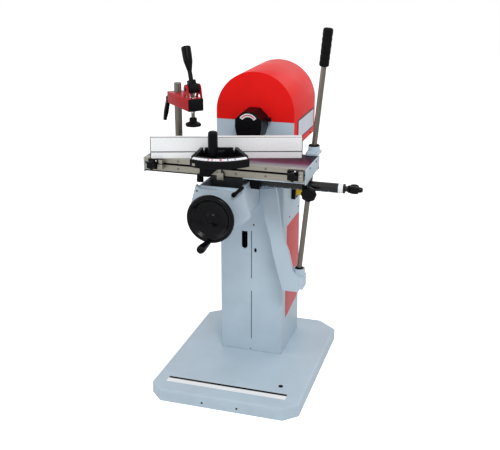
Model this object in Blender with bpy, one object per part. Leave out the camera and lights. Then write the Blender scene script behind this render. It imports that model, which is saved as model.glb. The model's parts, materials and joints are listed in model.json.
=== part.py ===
"""Slot mortiser: floor base, column, motor cover, lifting knee, cross table, clamp and lever.

Metres, +X to the right of the machine, +Y to its back, +Z up.
The origin is the middle of the underside of the base stiffener, on the floor.
"""

from math import cos, pi, radians, sin

import bmesh
import bpy
from mathutils import Vector

GAP = 0.0003
TINY = 0.00001
OVERSHOOT = 0.004
FULL_TURN = 2 * pi
FINE = 32
ROUND = 24
SMALL = 12
CORNER_STEPS = 3
SHARP = radians(35)
FACE_UP = (0, 0, 0)
FACE_FRONT = (pi / 2, 0, 0)
FACE_RIGHT = (pi / 2, 0, pi / 2)

# Base tray and its stiffener.
TRAY_HALF = (0.270, 0.353)
TRAY_FRONT_CORNER = (0.047, 0.045)
TRAY_REAR_CORNER = (0.072, 0.060)
TRAY_OUTER = ((0.0, 0.0), (0.0, 0.041), (0.0025, 0.0458), (0.0075, 0.048))
TRAY_INNER = ((0.022, 0.0), (0.022, 0.003), (0.003, 0.003), (0.003, 0.0405), (0.009, 0.045))
ANCHOR_AT = (0.180, 0.213)
ANCHOR_RADIUS = 0.007
ANCHOR_SPAN = (0.040, 0.052)
SKIRT_HOLES_X = (-0.067, 0.060)
SKIRT_HOLE_Z = 0.017
SKIRT_HOLE_RADIUS = 0.004
SKIRT_HOLE_SPAN = (0.345, 0.357)
STIFFENER_HALF = (0.215, 0.085)
STIFFENER_TOP = 0.0447
STIFFENER_SHEET = 0.004

# Column.
COLUMN_X = (-0.120, 0.120)
COLUMN_Y = (0.0157, 0.2706)
COLUMN_Z = (0.0483, 0.835)
COLUMN_SHEET = 0.003
COLUMN_CORNER = 0.008
SHAFT_X = -0.0255
SLOT_HALF = 0.011
SIGHT_SLOT_Z = (0.475, 0.531)
SLOT_Z = (0.600, 0.800)
SLOT_CUT_Y = (0.010, 0.024)
OVAL_AT = (0.016, 0.460)
OVAL_HALF = (0.005, 0.0085)

# Guide bars and fixed lift nut.
GUIDE_Y = 0.100
GUIDE_REACH = 0.060
GUIDE_RADIUS = 0.0125
GUIDE_Z = (0.0486, 0.8316)
LIFT_NUT_X = (-0.1167, 0.1167)
LIFT_NUT_Y = (0.065, 0.135)
LIFT_NUT_Z = (0.495, 0.525)

# Motor cover.
HOOD_HALF = 0.143
HOOD_ARCH_Z = 0.964
HOOD_BOTTOM = 0.838
HOOD_Y = (0.055, 0.381)
HOOD_SHEET = 0.003
HOOD_SPLIT_Z = 0.935
HOOD_ARCH_STEPS = 26
PANEL_Y = (0.055, 0.058)
PANEL_TOP = 0.9347
PORT_RADIUS = 0.027
CRADLE_X = 0.1397
CRADLE_Y = (0.062, 0.366)
CRADLE_Z = (0.8353, 0.900)
CRADLE_SHEET = 0.003
PLATE_X = (0.1433, 0.1448)
PLATE_Y = (0.110, 0.355)
PLATE_Z = (0.862, 0.934)

# Motor, spindle and bit holder.
SPINDLE_Z = 0.940
MOTOR_PROFILE = ((0.030, 0.0), (0.062, 0.0), (0.065, 0.004), (0.065, 0.205), (0.062, 0.210), (0.030, 0.210))
MOTOR_FRONT_Y = 0.095
MOTOR_FOOT_X = (-0.050, 0.050)
MOTOR_FOOT_Y = (0.120, 0.280)
MOTOR_FOOT_Z = (0.8386, 0.900)
MOTOR_BORE = 0.0105
MOTOR_BORE_DEPTH = 0.050
SHAFT_RADIUS = 0.010
SPINDLE_Y = (0.0297, 0.140)
BIT_HOLDER_Y = -0.016
BIT_HOLDER_PROFILE = ((0.0, 0.0), (0.012, 0.0), (0.018, 0.006), (0.018, 0.022), (0.021, 0.026), (0.021, 0.0457), (0.0, 0.0457))

# Guard over the bit holder: half outlines at the front and at the back, then the inner skin.
GUARD_FRONT_Y = -0.027
GUARD_BACK_Y = 0.0547
GUARD_FRONT = ((0.040, -0.050), (0.048, -0.014), (0.047, 0.015), (0.019, 0.041))
GUARD_BACK = ((0.041, -0.050), (0.050, -0.016), (0.048, 0.017), (0.020, 0.0435))
GUARD_CORE_FRONT = ((0.0345, -0.060), (0.0448, -0.0140), (0.0440, 0.0137), (0.0178, 0.0380))
GUARD_CORE_BACK = ((0.0355, -0.060), (0.0468, -0.0160), (0.0450, 0.0157), (0.0188, 0.0405))
GUARD_CORE_Y = (-0.024, 0.0600)
BIT_HOLE_RADIUS = 0.0085
GUARD_KNOB_AT = (0.0490, 0.036, 0.946)
GUARD_KNOB_PROFILE = ((0.0, 0.0), (0.003, 0.0), (0.003, 0.004), (0.009, 0.005), (0.009, 0.015), (0.0, 0.016))

# Switch on the side of the column.
SWITCH_X = (0.1203, 0.1350)
SWITCH_Y = (0.125, 0.225)
SWITCH_Z = (0.634, 0.704)
FLAP_X = (0.1353, 0.1610)
FLAP_Y = (0.130, 0.165)
FLAP_Z = (0.650, 0.672)
BUTTON_Z = 0.669
START_BUTTON_Y = 0.180
STOP_BUTTON_Y = 0.206
BUTTON_BORE = 0.0093
BUTTON_BORE_DEPTH = 0.009
BUTTON_PROFILE = ((0.0, 0.0), (0.009, 0.0), (0.009, 0.0085), (0.007, 0.010), (0.0, 0.010))
BUTTON_X = 0.1300

# Knee.
KNEE_X = -0.018
KNEE_FACE_Y = (-0.290, -0.272)
KNEE_FACE = ((0.080, 0.665), (0.105, 0.692), (0.079, 0.787), (0.062, 0.775))
KNEE_HALF = 0.072
KNEE_Y = (-0.273, -0.010)
KNEE_Z = (0.672, 0.783)
KNEE_WALL = 0.008
KNEE_END_WALL = 0.018
TROUGH_FLOOR_Z = 0.728
TUNNEL_ROOF_Z = 0.720
SHAFT_Z = 0.697
CROSS_BAR_REACH = 0.040
CROSS_BAR_Z = 0.752
CROSS_BAR_RADIUS = 0.009
CROSS_BAR_Y = (-0.2717, -0.0283)
KNEE_LOCK_AT = (0.036, -0.2903, 0.768)
KNEE_LOCK_PROFILE = ((0.0, 0.0), (0.008, 0.0), (0.008, 0.010), (0.006, 0.012), (0.0, 0.012))
KNEE_LOCK_BLADE = ((-0.005, -0.004), (0.005, -0.004), (0.006, 0.040), (0.003, 0.045), (-0.003, 0.045), (-0.006, 0.040))
KNEE_LOCK_BLADE_SPAN = (0.006, 0.013)
KNEE_LOCK_LEAN = radians(-48)

# Lift carriage behind the knee.
FLANGE_HALF = 0.030
FLANGE_Y = (-0.0097, -0.002)
NECK_HALF = 0.009
NECK_Y = (-0.004, 0.046)
NECK_Z = (0.664, 0.730)
WEB_HALF = 0.085
WEB_Y = (0.042, 0.054)
WEB_Z = (0.636, 0.7375)
SHELF_Y = (0.050, 0.135)
TOP_SHELF_Z = (0.7225, 0.7375)
LOW_SHELF_Z = (0.636, 0.651)
WHEEL_SHAFT_RADIUS = 0.006
WHEEL_SHAFT_BORE = 0.0064
SCREW_RADIUS = 0.009
SCREW_BORE = 0.0094
GUIDE_BORE = 0.0129
SCREW_BOTTOM_Z = 0.360
BEVEL_FAR = 0.024
BEVEL_NEAR = 0.011
BEVEL_EASE = 0.0006
BEVEL_HUB = 0.012
BEVEL_HUB_DEPTH = 0.006

# Handwheel and crank.
WHEEL_Y = -0.350
WHEEL_PROFILE = ((0.0, -0.004), (0.016, -0.004), (0.020, -0.010), (0.058, -0.002), (0.066, 0.006), (0.072, 0.0095),
                 (0.0785, 0.007), (0.081, 0.0), (0.0785, -0.007), (0.072, -0.0095), (0.064, -0.008),
                 (0.056, -0.014), (0.022, -0.022), (0.018, -0.034), (0.0, -0.034))
WHEEL_SHAFT_Y = (-0.3157, 0.0770)
CRANK_REACH = 0.070
CRANK_AT_Y = -0.3600
CRANK_PROFILE = ((0.0, 0.0), (0.008, 0.0), (0.0085, 0.012), (0.011, 0.050), (0.014, 0.076), (0.0135, 0.086),
                 (0.009, 0.091), (0.0, 0.092))

# Lever arm under the table and the cup at its foot.
ARM_Y = (-0.068, -0.052)
ARM_OUTLINE = ((0.0543, 0.676), (0.068, 0.668), (0.078, 0.603), (0.094, 0.549), (0.105, 0.490), (0.142, 0.352),
               (0.200, 0.352), (0.200, 0.408), (0.180, 0.425), (0.162, 0.500), (0.143, 0.546), (0.130, 0.616),
               (0.120, 0.697), (0.113, 0.730), (0.0543, 0.724))
FOOT_X = (0.146, 0.2155)
FOOT_Y = (-0.066, -0.012)
FOOT_Z = (0.362, 0.408)
LEVER_AT = (0.194, -0.033, 0.427)
CUP_PROFILE = ((0.0, -0.021), (0.021, -0.021), (0.021, 0.005), (0.017, 0.005), (0.017, -0.017), (0.0, -0.017))
CUP_PIN_BORE = 0.0034
CUP_PIN_SPAN = 0.024
LEVER_LEAN = radians(5.3)
RING_PROFILE = ((0.0125, -0.0045), (0.0155, -0.0045), (0.0155, 0.0045), (0.0125, 0.0045))
RING_PIN_RADIUS = 0.0030
RING_PIN_SPAN = (0.0140, 0.0195)
ROD_PIN_SPAN = 0.0152
ROD_PROFILE = ((0.0, -0.012), (0.009, -0.012), (0.009, 0.7357), (0.0, 0.7357))
GRIP_START = 0.7360
GRIP_PROFILE = ((0.0, 0.0), (0.014, 0.0), (0.0165, 0.006), (0.0165, 0.020), (0.0145, 0.026), (0.0165, 0.032),
                (0.0145, 0.044), (0.0165, 0.050), (0.0145, 0.062), (0.0165, 0.068), (0.0145, 0.080),
                (0.0165, 0.086), (0.0165, 0.106), (0.012, 0.114), (0.0, 0.115))

# Saddle.
SADDLE_UP_X = (-0.081, 0.045)
SADDLE_UP_Y = (-0.195, -0.110)
SADDLE_UP_Z = (0.786, 0.8435)
SADDLE_LOW_HALF = 0.058
SADDLE_LOW_Z = (0.733, 0.790)
RUNNER_RADIUS = 0.008
RUNNER_Z = 0.829
RUNNER_FRONT_Y = -0.178
RUNNER_REAR_Y = -0.127
RUNNER_BORE = 0.0083
CROSS_BAR_BORE = 0.0093

# Index bar and its knobs.
INDEX_AT = (0.062, -0.165, 0.781)
INDEX_BRACKET_ARM_X = (0.0453, 0.0900)
INDEX_BRACKET_Y = (-0.187, -0.143)
INDEX_BRACKET_ARM_Z = (0.787, 0.812)
INDEX_BOSS_X = (0.0580, 0.0900)
INDEX_BOSS_Z = (0.759, 0.812)
INDEX_BORE = 0.0163
INDEX_BAR_PROFILE = ((0.0, 0.0), (0.0155, 0.0), (0.016, 0.001), (0.016, 0.300), (0.015, 0.310), (0.009, 0.311),
                     (0.009, 0.318), (0.0, 0.318))
STAR_KNOB_OUT = 0.3183
INDEX_STAR_STEM = ((0.0, 0.0), (0.008, 0.0), (0.008, 0.049), (0.0, 0.049))
INDEX_STAR_SPAN = (0.010, 0.037)
STAR_LOBES = 5
CARRIER_X = (0.2360, 0.2750)
CARRIER_Y = (-0.196, -0.134)
CARRIER_Z = (0.740, 0.8045)
CARRIER_LUG_X = (0.2360, 0.2567)
CARRIER_LUG_Y = (-0.1690, -0.1360)
CARRIER_LUG_Z = (0.8005, 0.8457)
CARRIER_BORE = 0.0168
INDEX_KNOB_AT = (0.2632, -0.1963, 0.767)
INDEX_KNOB_PROFILE = ((0.0, 0.0), (0.007, 0.0), (0.007, 0.010), (0.024, 0.012), (0.026, 0.015), (0.026, 0.024),
                      (0.022, 0.028), (0.0, 0.029))

# Table.
TABLE_X = (-0.279, 0.257)
TABLE_Y = (-0.2277, -0.057)
TABLE_Z = (0.846, 0.856)
RAIL_Y = (-0.250, -0.228)
RAIL_Z = (0.810, 0.856)
RAIL_SLOT_Y = (-0.2505, -0.2380)
RAIL_SLOT_Z = (0.8350, 0.8420)
RAIL_UNDERCUT_Y = (-0.2445, -0.2380)
RAIL_UNDERCUT_Z = (0.8310, 0.8460)
LEFT_PLATE_X = (-0.2833, -0.2793)
RIGHT_PLATE_X = (0.2573, 0.2613)
END_PLATE = ((-0.250, 0.806), (-0.250, 0.856), (-0.057, 0.856), (-0.057, 0.816), (-0.110, 0.813))
RUNNER_X = (-0.2790, 0.2570)
UPPER_BRACKET = ((0.224, -0.092), (0.232, -0.100), (0.268, -0.100), (0.268, -0.009), (0.214, -0.009), (0.214, -0.066))
UPPER_BRACKET_Z = (0.8563, 0.866)
BUSH_AT = (0.2360, -0.0330)
BUSH_OUTER = 0.0225
BUSH_BORE = 0.0172
BUSH_Z = (0.862, 0.882)
BOOT_Z = 0.8823
BOOT_PROFILE = ((0.0172, 0.0), (0.0205, 0.0), (0.0195, 0.003), (0.0172, 0.0035))

# Rail stops.
STOP_LEFT_X = (-0.272, -0.222)
STOP_RIGHT_X = (0.203, 0.2555)
STOP_Y = (-0.2660, -0.2503)
STOP_Z = (0.822, 0.8555)
STOP_KEY_Y = (-0.2530, -0.2400)
STOP_KEY_Z = (0.8358, 0.8412)
STOP_KEY_TRIM = 0.012
STOP_LEFT_KNOB_AT = (-0.257, -0.2663, 0.8385)
STOP_RIGHT_KNOB_AT = (0.221, -0.2663, 0.8385)
STAR_PROFILE_STEM = ((0.0, 0.0), (0.007, 0.0), (0.007, 0.010), (0.0, 0.010))
STAR_RADIUS = 0.0165
STAR_DIP = 0.0035
STAR_SPAN = (0.008, 0.020)
STAR_STEPS = 30

# Mitre slide, head and fence.
MITRE_REST = radians(18.1)
PIVOT = (-0.0413, -0.2014)
MITRE_BAR_HALF = 0.010
MITRE_BAR_Y = (-0.300, -0.200)
MITRE_BAR_Z = (0.8563, 0.8613)
MITRE_BLOCK_X = (-0.090, -0.058)
MITRE_BLOCK_Y = (-0.2680, -0.2503)
MITRE_BLOCK_Z = (0.811, 0.8600)
MITRE_WING_X = (-0.090, -0.016)
MITRE_WING_Y = (-0.2680, -0.2530)
MITRE_WING_Z = (0.8563, 0.8613)
MITRE_KEY_X = (-0.034, -0.011)
MITRE_KEY_Y = (-0.2600, -0.2503)
MITRE_KEY_Z = (0.802, 0.827)
MITRE_NECK_X = (-0.029, -0.018)
MITRE_NECK_Z = (0.820, 0.8600)
MITRE_T_Y = (-0.2530, -0.2400)
MITRE_T_Z = (0.8358, 0.8412)
MITRE_PIN_RADIUS = 0.006
MITRE_PIN_TOP = 0.880
MITRE_LUG_X = (-0.103, -0.083)
MITRE_LUG_Z = (0.789, 0.815)
MITRE_LUG_Y = (-0.2600, -0.2503)
MITRE_KNOB_AT = (-0.093, -0.2603, 0.799)
MITRE_KNOB_PROFILE = ((0.0, 0.0), (0.005, 0.0), (0.0090, 0.002), (0.0090, 0.008), (0.006, 0.0100), (0.0, 0.0100))
HEAD_Z = (0.8616, 0.894)
HEAD_BACK = 0.0117
HEAD_BACK_HALF = 0.060
HEAD_SCALE_RADIUS = 0.150
HEAD_SCALE_HALF = radians(39)
HEAD_SCALE_STEPS = 12
HEAD_POCKET_Z = 0.866
HEAD_POCKET_RADIUS = 0.126
HEAD_POCKET_HALF = radians(36)
HEAD_POCKET_BACK = 0.004
HEAD_POCKET_BACK_HALF = 0.048
HEAD_PIN_BORE = 0.0063
HEAD_POST_RADIUS = 0.020
LOCK_REACH = 0.0919
LOCK_TURN = radians(4.5)
LOCK_Z = 0.8663
LOCK_PROFILE = ((0.0, 0.0), (0.012, 0.0), (0.012, 0.020), (0.0155, 0.026), (0.0155, 0.098), (0.012, 0.104),
                (0.0, 0.106))
FENCE_X = (-0.2370, 0.2700)
FENCE_FACE = 0.0120
FENCE_DEPTH = 0.020
FENCE_Z = (0.8563, 0.928)
FENCE_GROOVE_Z = (0.876, 0.880)
FENCE_GROOVE_DEPTH = 0.003
FENCE_SLOT_Z = (0.898, 0.906)
FENCE_SLOT_DEPTH = 0.008

# Workpiece clamp.
POST_AT = (-0.238, -0.072)
POST_PROFILE = ((0.0, 0.8563), (0.0147, 0.8563), (0.0147, 0.866), (0.0125, 0.868), (0.0125, 1.077), (0.0105, 1.079),
                (0.0, 1.079))
CLAMP_TURN = radians(-45)
CLAMP_ARM_OUT = (-0.030, 0.150)
CLAMP_ARM_HALF = 0.027
CLAMP_ARM_Z = (1.005, 1.046)
CLAMP_ARM_WALL = 0.004
CLAMP_PLUG = 0.006
CLAMP_POST_BORE = 0.0129
CLAMP_SLEEVE = 0.0165
SPINDLE_OUT = 0.1245
SPINDLE_BORE = 0.0063
EAR_OUTLINE = ((0.0995, 1.044), (0.1495, 1.044), (0.1450, 1.080), (0.1350, 1.092), (0.1190, 1.092),
               (0.1065, 1.080))
EAR_OFFSETS = (0.0215, 0.0255)
CAM_Z = 1.076
CAM_PIN_RADIUS = 0.0045
CAM_PIN_HALF = 0.0280
CAM_BORE = 0.0048
CAM_HALF = 0.0165
CAM_BASE_RADIUS = 0.0130
CAM_GROWTH = 0.00482
CAM_SWEEP = radians(95)
CAM_STEPS = 20
CAM_STEM_LEAN = radians(-20)
CAM_ROD_PROFILE = ((0.0, 0.006), (0.0110, 0.006), (0.0110, 0.024), (0.0075, 0.030), (0.0075, 0.0637), (0.0, 0.0637))
CAM_GRIP_PROFILE = ((0.0, 0.064), (0.0075, 0.064), (0.0152, 0.097), (0.0165, 0.145), (0.013, 0.150), (0.0, 0.150))
CLAMP_FOOT_Z = 0.952
CLAMP_SPINDLE_PROFILE = ((0.0, 0.0), (0.0265, 0.0), (0.0275, 0.004), (0.0265, 0.009), (0.014, 0.014),
                         (0.010, 0.026), (0.0090, 0.030), (0.0060, 0.031), (0.0060, 0.105), (0.0090, 0.106),
                         (0.0090, 0.1095), (0.0, 0.1095))
LOCK_LEVER_OUT = -0.0303
LOCK_LEVER_SIDE = -0.018
LOCK_LEVER_Z = 1.020
LOCK_HUB_PROFILE = ((0.0, 0.0), (0.0085, 0.0), (0.0085, 0.016), (0.006, 0.018), (0.0, 0.018))
LOCK_BLADE = ((-0.006, 0.004), (-0.007, -0.050), (-0.004, -0.078), (0.004, -0.078), (0.007, -0.050), (0.006, 0.004))
LOCK_BLADE_SPAN = (0.006, 0.017)
LOCK_LEVER_LEAN = radians(-12)

# Colours, in linear light.
PALE_PAINT = (0.58, 0.66, 0.70, 1)
HOOD_RED = (0.78, 0.02, 0.01, 1)
CLAMP_RED = (0.55, 0.02, 0.02, 1)
BLACK = (0.012, 0.012, 0.014, 1)
STEEL = (0.55, 0.55, 0.53, 1)
BRIGHT = (0.70, 0.70, 0.68, 1)
ALUMINIUM = (0.72, 0.75, 0.78, 1)
YELLOW = (0.80, 0.50, 0.02, 1)
GREEN = (0.03, 0.35, 0.06, 1)
RUBBER = (0.02, 0.02, 0.02, 1)
PAINTED = (0.0, 0.42)
PLASTIC = (0.0, 0.45)
POLISHED = (1.0, 0.28)
BRUSHED = (1.0, 0.42)


def clear_objects():
    """Start from nothing."""
    for item in list(bpy.data.objects):
        bpy.data.objects.remove(item, do_unlink=True)


def finish_object(name, bm, smooth):
    """Turn a working mesh into a linked object with its faces outward."""
    bmesh.ops.remove_doubles(bm, verts=bm.verts, dist=TINY)
    bmesh.ops.recalc_face_normals(bm, faces=bm.faces)
    mesh = bpy.data.meshes.new(name)
    bm.to_mesh(mesh)
    bm.free()
    obj = bpy.data.objects.new(name, mesh)
    bpy.context.scene.collection.objects.link(obj)
    if smooth:
        mesh.polygons.foreach_set("use_smooth", [True] * len(mesh.polygons))
        mesh.set_sharp_from_angle(angle=SHARP)
    return obj


def body(name, at, parent=None):
    """An empty on a joint axis, which carries every piece of one moving body."""
    empty = bpy.data.objects.new(name + "_axis", None)
    bpy.context.scene.collection.objects.link(empty)
    empty["at"] = at
    if parent:
        empty.parent = parent
        empty.location = Vector(at) - Vector(parent["at"])
    else:
        empty.location = at
    return empty


def put(obj, holder, at, turn=FACE_UP):
    """Set a piece at a place of the whole machine, carried by one body."""
    obj.rotation_euler = turn
    if holder:
        obj.parent = holder
        obj.location = Vector(at) - Vector(holder["at"])
    else:
        obj.location = at
    return obj


def paint(obj, colour, finish):
    """Give a piece its own surface."""
    metallic, roughness = finish
    surface = bpy.data.materials.new(obj.name + "_surface")
    surface.use_nodes = True
    shader = surface.node_tree.nodes["Principled BSDF"]
    shader.inputs["Base Color"].default_value = colour
    shader.inputs["Metallic"].default_value = metallic
    shader.inputs["Roughness"].default_value = roughness
    surface.diffuse_color = colour
    obj.data.materials.clear()
    obj.data.materials.append(surface)


def prism(name, outline, span, smooth=False):
    """A straight extrusion of a closed outline along the piece's own Z."""
    bm = bmesh.new()
    low, high = span
    corners = [bm.verts.new((x, y, low)) for x, y in outline]
    face = bm.faces.new(corners)
    grown = bmesh.ops.extrude_face_region(bm, geom=[face])
    raised = [item for item in grown["geom"] if isinstance(item, bmesh.types.BMVert)]
    bmesh.ops.translate(bm, verts=raised, vec=(0, 0, high - low))
    return finish_object(name, bm, smooth)


def turned(name, profile, steps=ROUND):
    """A piece turned on a lathe: its half profile (radius, height) spun round its own Z."""
    bm = bmesh.new()
    points = [bm.verts.new((radius, 0, height)) for radius, height in profile]
    edges = [bm.edges.new(pair) for pair in zip(points, points[1:])]
    on_axis = max(profile[0][0], profile[-1][0]) < TINY
    if not on_axis:
        edges.append(bm.edges.new((points[-1], points[0])))
    bmesh.ops.spin(bm, geom=points + edges, cent=(0, 0, 0), axis=(0, 0, 1), dvec=(0, 0, 0),
                   angle=FULL_TURN, steps=steps, use_merge=True)
    return finish_object(name, bm, True)


def rod(name, radius, span, steps=ROUND):
    """A plain cylinder along its own Z."""
    low, high = span
    return turned(name, ((0.0, low), (radius, low), (radius, high), (0.0, high)), steps)


def block(name, xs, ys, zs, holder=None, bevel=0.0):
    """A rectangular piece between two planes on each axis."""
    at = tuple((low + high) / 2 for low, high in (xs, ys, zs))
    sides = tuple(high - low for low, high in (xs, ys, zs))
    bm = bmesh.new()
    bmesh.ops.create_cube(bm, size=1)
    bmesh.ops.scale(bm, vec=sides, verts=bm.verts)
    if bevel:
        bmesh.ops.bevel(bm, geom=bm.edges[:], offset=bevel, segments=1, affect="EDGES")
    return put(finish_object(name, bm, False), holder, at)


def loft(name, rings, closed_ends=True):
    """Skin a row of rings that have the same number of corners."""
    bm = bmesh.new()
    rows = [[bm.verts.new(corner) for corner in ring] for ring in rings]
    for lower, upper in zip(rows, rows[1:]):
        for index in range(len(lower)):
            after = (index + 1) % len(lower)
            bm.faces.new((lower[index], lower[after], upper[after], upper[index]))
    if closed_ends:
        bm.faces.new(rows[0])
        bm.faces.new(list(reversed(rows[-1])))
    return finish_object(name, bm, False)


def combine(obj, other, operation):
    """Cut away or weld on another shape; that shape itself stays a hidden helper."""
    other.hide_render = True
    other.display_type = "WIRE"
    change = obj.modifiers.new(other.name, "BOOLEAN")
    change.operation = operation
    change.solver = "EXACT"
    change.object = other
    return obj


def cut(obj, *others):
    """Cut each shape out of a piece."""
    for other in others:
        combine(obj, other, "DIFFERENCE")
    return obj


def weld(obj, *others):
    """Make each shape one with a piece."""
    for other in others:
        combine(obj, other, "UNION")
    return obj


def mirrored(half):
    """Complete a half outline (positive x) with its mirror image, going round once."""
    return tuple(half) + tuple((-x, z) for x, z in reversed(half))


def place_pair(at, reach):
    """The two places left and right of a middle place."""
    x, y, z = at
    return ((x - reach, y, z), (x + reach, y, z))


def centred(middle, half):
    """A span of two planes round a middle value."""
    return (middle - half, middle + half)


def star_outline():
    """Outline of a hand knob with rounded lobes: its radius swings with the angle."""
    points = []
    for index in range(STAR_STEPS):
        angle = FULL_TURN * index / STAR_STEPS
        radius = STAR_RADIUS - STAR_DIP * (1 - cos(STAR_LOBES * angle)) / 2
        points.append((radius * cos(angle), radius * sin(angle)))
    return points


def star_knob(name, stem, span):
    """A lobed hand knob on a stem, pointing along its own Z."""
    knob = turned(name, stem, SMALL)
    return weld(knob, prism(name + "_lobes", star_outline(), span, True))


def helper_with(obj, holder, at, turn, *helpers):
    """Place a piece and the helper shapes that change it alike."""
    put(obj, holder, at, turn)
    for helper in helpers:
        put(helper, holder, at, turn)
    return obj


def star_at(name, holder, at, turn, stem=STAR_PROFILE_STEM, span=STAR_SPAN):
    """A placed lobed knob."""
    knob = star_knob(name, stem, span)
    put(knob, holder, at, turn)
    put(knob.modifiers[0].object, holder, at, turn)
    return knob


def tray_ring(inset, height):
    """One level of the eight-sided base tray, drawn in by the inset on every side."""
    half_x, half_y = (half - inset for half in TRAY_HALF)
    ease = inset * (2 - 2 ** 0.5)
    front_x, front_y = (size - ease for size in TRAY_FRONT_CORNER)
    rear_x, rear_y = (size - ease for size in TRAY_REAR_CORNER)
    return ((half_x - front_x, -half_y, height), (half_x, front_y - half_y, height),
            (half_x, half_y - rear_y, height), (half_x - rear_x, half_y, height),
            (rear_x - half_x, half_y, height), (-half_x, half_y - rear_y, height),
            (-half_x, front_y - half_y, height), (front_x - half_x, -half_y, height))


def build_base():
    """Pressed steel tray with its return flange, and the channel that stiffens it."""
    outer = [tray_ring(inset, height) for inset, height in reversed(TRAY_OUTER)]
    inner = [tray_ring(inset, height) for inset, height in TRAY_INNER]
    tray = loft("base_tray", outer + inner)
    reach_x, reach_y = ANCHOR_AT
    for index, (side, end) in enumerate(((1, 1), (1, -1), (-1, 1), (-1, -1))):
        hole = rod("anchor_hole_%d" % index, ANCHOR_RADIUS, ANCHOR_SPAN, SMALL)
        cut(tray, put(hole, None, (side * reach_x, end * reach_y, 0)))
    for index, hole_x in enumerate(SKIRT_HOLES_X):
        hole = rod("skirt_hole_%d" % index, SKIRT_HOLE_RADIUS, SKIRT_HOLE_SPAN, SMALL)
        cut(tray, put(hole, None, (hole_x, 0, SKIRT_HOLE_Z), FACE_FRONT))
    paint(tray, PALE_PAINT, PAINTED)
    half_x, half_y = STIFFENER_HALF
    thick = STIFFENER_SHEET
    section = ((-half_y, 0), (half_y, 0), (half_y, STIFFENER_TOP), (half_y - thick, STIFFENER_TOP),
               (half_y - thick, thick), (thick - half_y, thick), (thick - half_y, STIFFENER_TOP),
               (-half_y, STIFFENER_TOP))
    channel = prism("base_stiffener", section, (-half_x, half_x))
    paint(put(channel, None, (0, 0, 0), FACE_RIGHT), PALE_PAINT, PAINTED)


def build_column():
    """Square sheet column with its lift slot, the guide bars and the fixed lift nut inside."""
    low_x, high_x = COLUMN_X
    low_y, high_y = COLUMN_Y
    low_z, high_z = COLUMN_Z
    column = prism("column", rounded_box(COLUMN_X, COLUMN_Y, COLUMN_CORNER), COLUMN_Z)
    sheet = COLUMN_SHEET
    inner = rounded_box((low_x + sheet, high_x - sheet), (low_y + sheet, high_y - sheet), COLUMN_CORNER - sheet)
    cut(column, prism("column_core", inner, (low_z - OVERSHOOT, high_z - sheet)))
    slot = block("lift_slot", centred(SHAFT_X, SLOT_HALF), SLOT_CUT_Y, SLOT_Z)
    sight = block("sight_slot", centred(SHAFT_X, SLOT_HALF), SLOT_CUT_Y, SIGHT_SLOT_Z)
    front, back = SLOT_CUT_Y
    end = put(rod("sight_slot_end", SLOT_HALF, (-back, -front)), None, (SHAFT_X, 0, SIGHT_SLOT_Z[0]), FACE_FRONT)
    oval_x, oval_z = OVAL_AT
    half_x, half_z = OVAL_HALF
    oval = prism("oval_hole", oval_outline(half_x, half_z), (-back, -front))
    put(oval, None, (oval_x, 0, oval_z), FACE_FRONT)
    cut(column, slot, sight, end, oval)
    paint(column, PALE_PAINT, PAINTED)
    for name, at in zip(("guide_bar_left", "guide_bar_right"), place_pair((SHAFT_X, GUIDE_Y, 0), GUIDE_REACH)):
        paint(put(rod(name, GUIDE_RADIUS, GUIDE_Z), None, at), STEEL, POLISHED)
    nut = block("lift_nut", LIFT_NUT_X, LIFT_NUT_Y, LIFT_NUT_Z)
    low, high = LIFT_NUT_Z
    through = (low - OVERSHOOT, high + OVERSHOOT)
    for index, at in enumerate(place_pair((SHAFT_X, GUIDE_Y, 0), GUIDE_REACH)):
        cut(nut, put(rod("nut_guide_bore_%d" % index, GUIDE_BORE, through), None, at))
    cut(nut, put(rod("nut_screw_bore", SCREW_BORE, through), None, (SHAFT_X, GUIDE_Y, 0)))
    paint(nut, STEEL, BRUSHED)


def rounded_box(xs, ys, radius):
    """Corner-rounded rectangle."""
    low_x, high_x = xs
    low_y, high_y = ys
    centres = ((high_x - radius, high_y - radius, 0), (low_x + radius, high_y - radius, 1),
               (low_x + radius, low_y + radius, 2), (high_x - radius, low_y + radius, 3))
    points = []
    for x, y, quarter in centres:
        for index in range(CORNER_STEPS + 1):
            angle = (quarter + index / CORNER_STEPS) * pi / 2
            points.append((x + radius * cos(angle), y + radius * sin(angle)))
    return points


def oval_outline(half_x, half_z):
    """Oval of twelve corners."""
    return [(half_x * cos(FULL_TURN * index / SMALL), half_z * sin(FULL_TURN * index / SMALL))
            for index in range(SMALL)]


def arch(half, spring, bottom):
    """Outline of an arch: half circle over straight sides."""
    points = [(half, bottom)]
    for index in range(HOOD_ARCH_STEPS + 1):
        angle = pi * index / HOOD_ARCH_STEPS
        points.append((half * cos(angle), spring + half * sin(angle)))
    points.append((-half, bottom))
    return points


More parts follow.
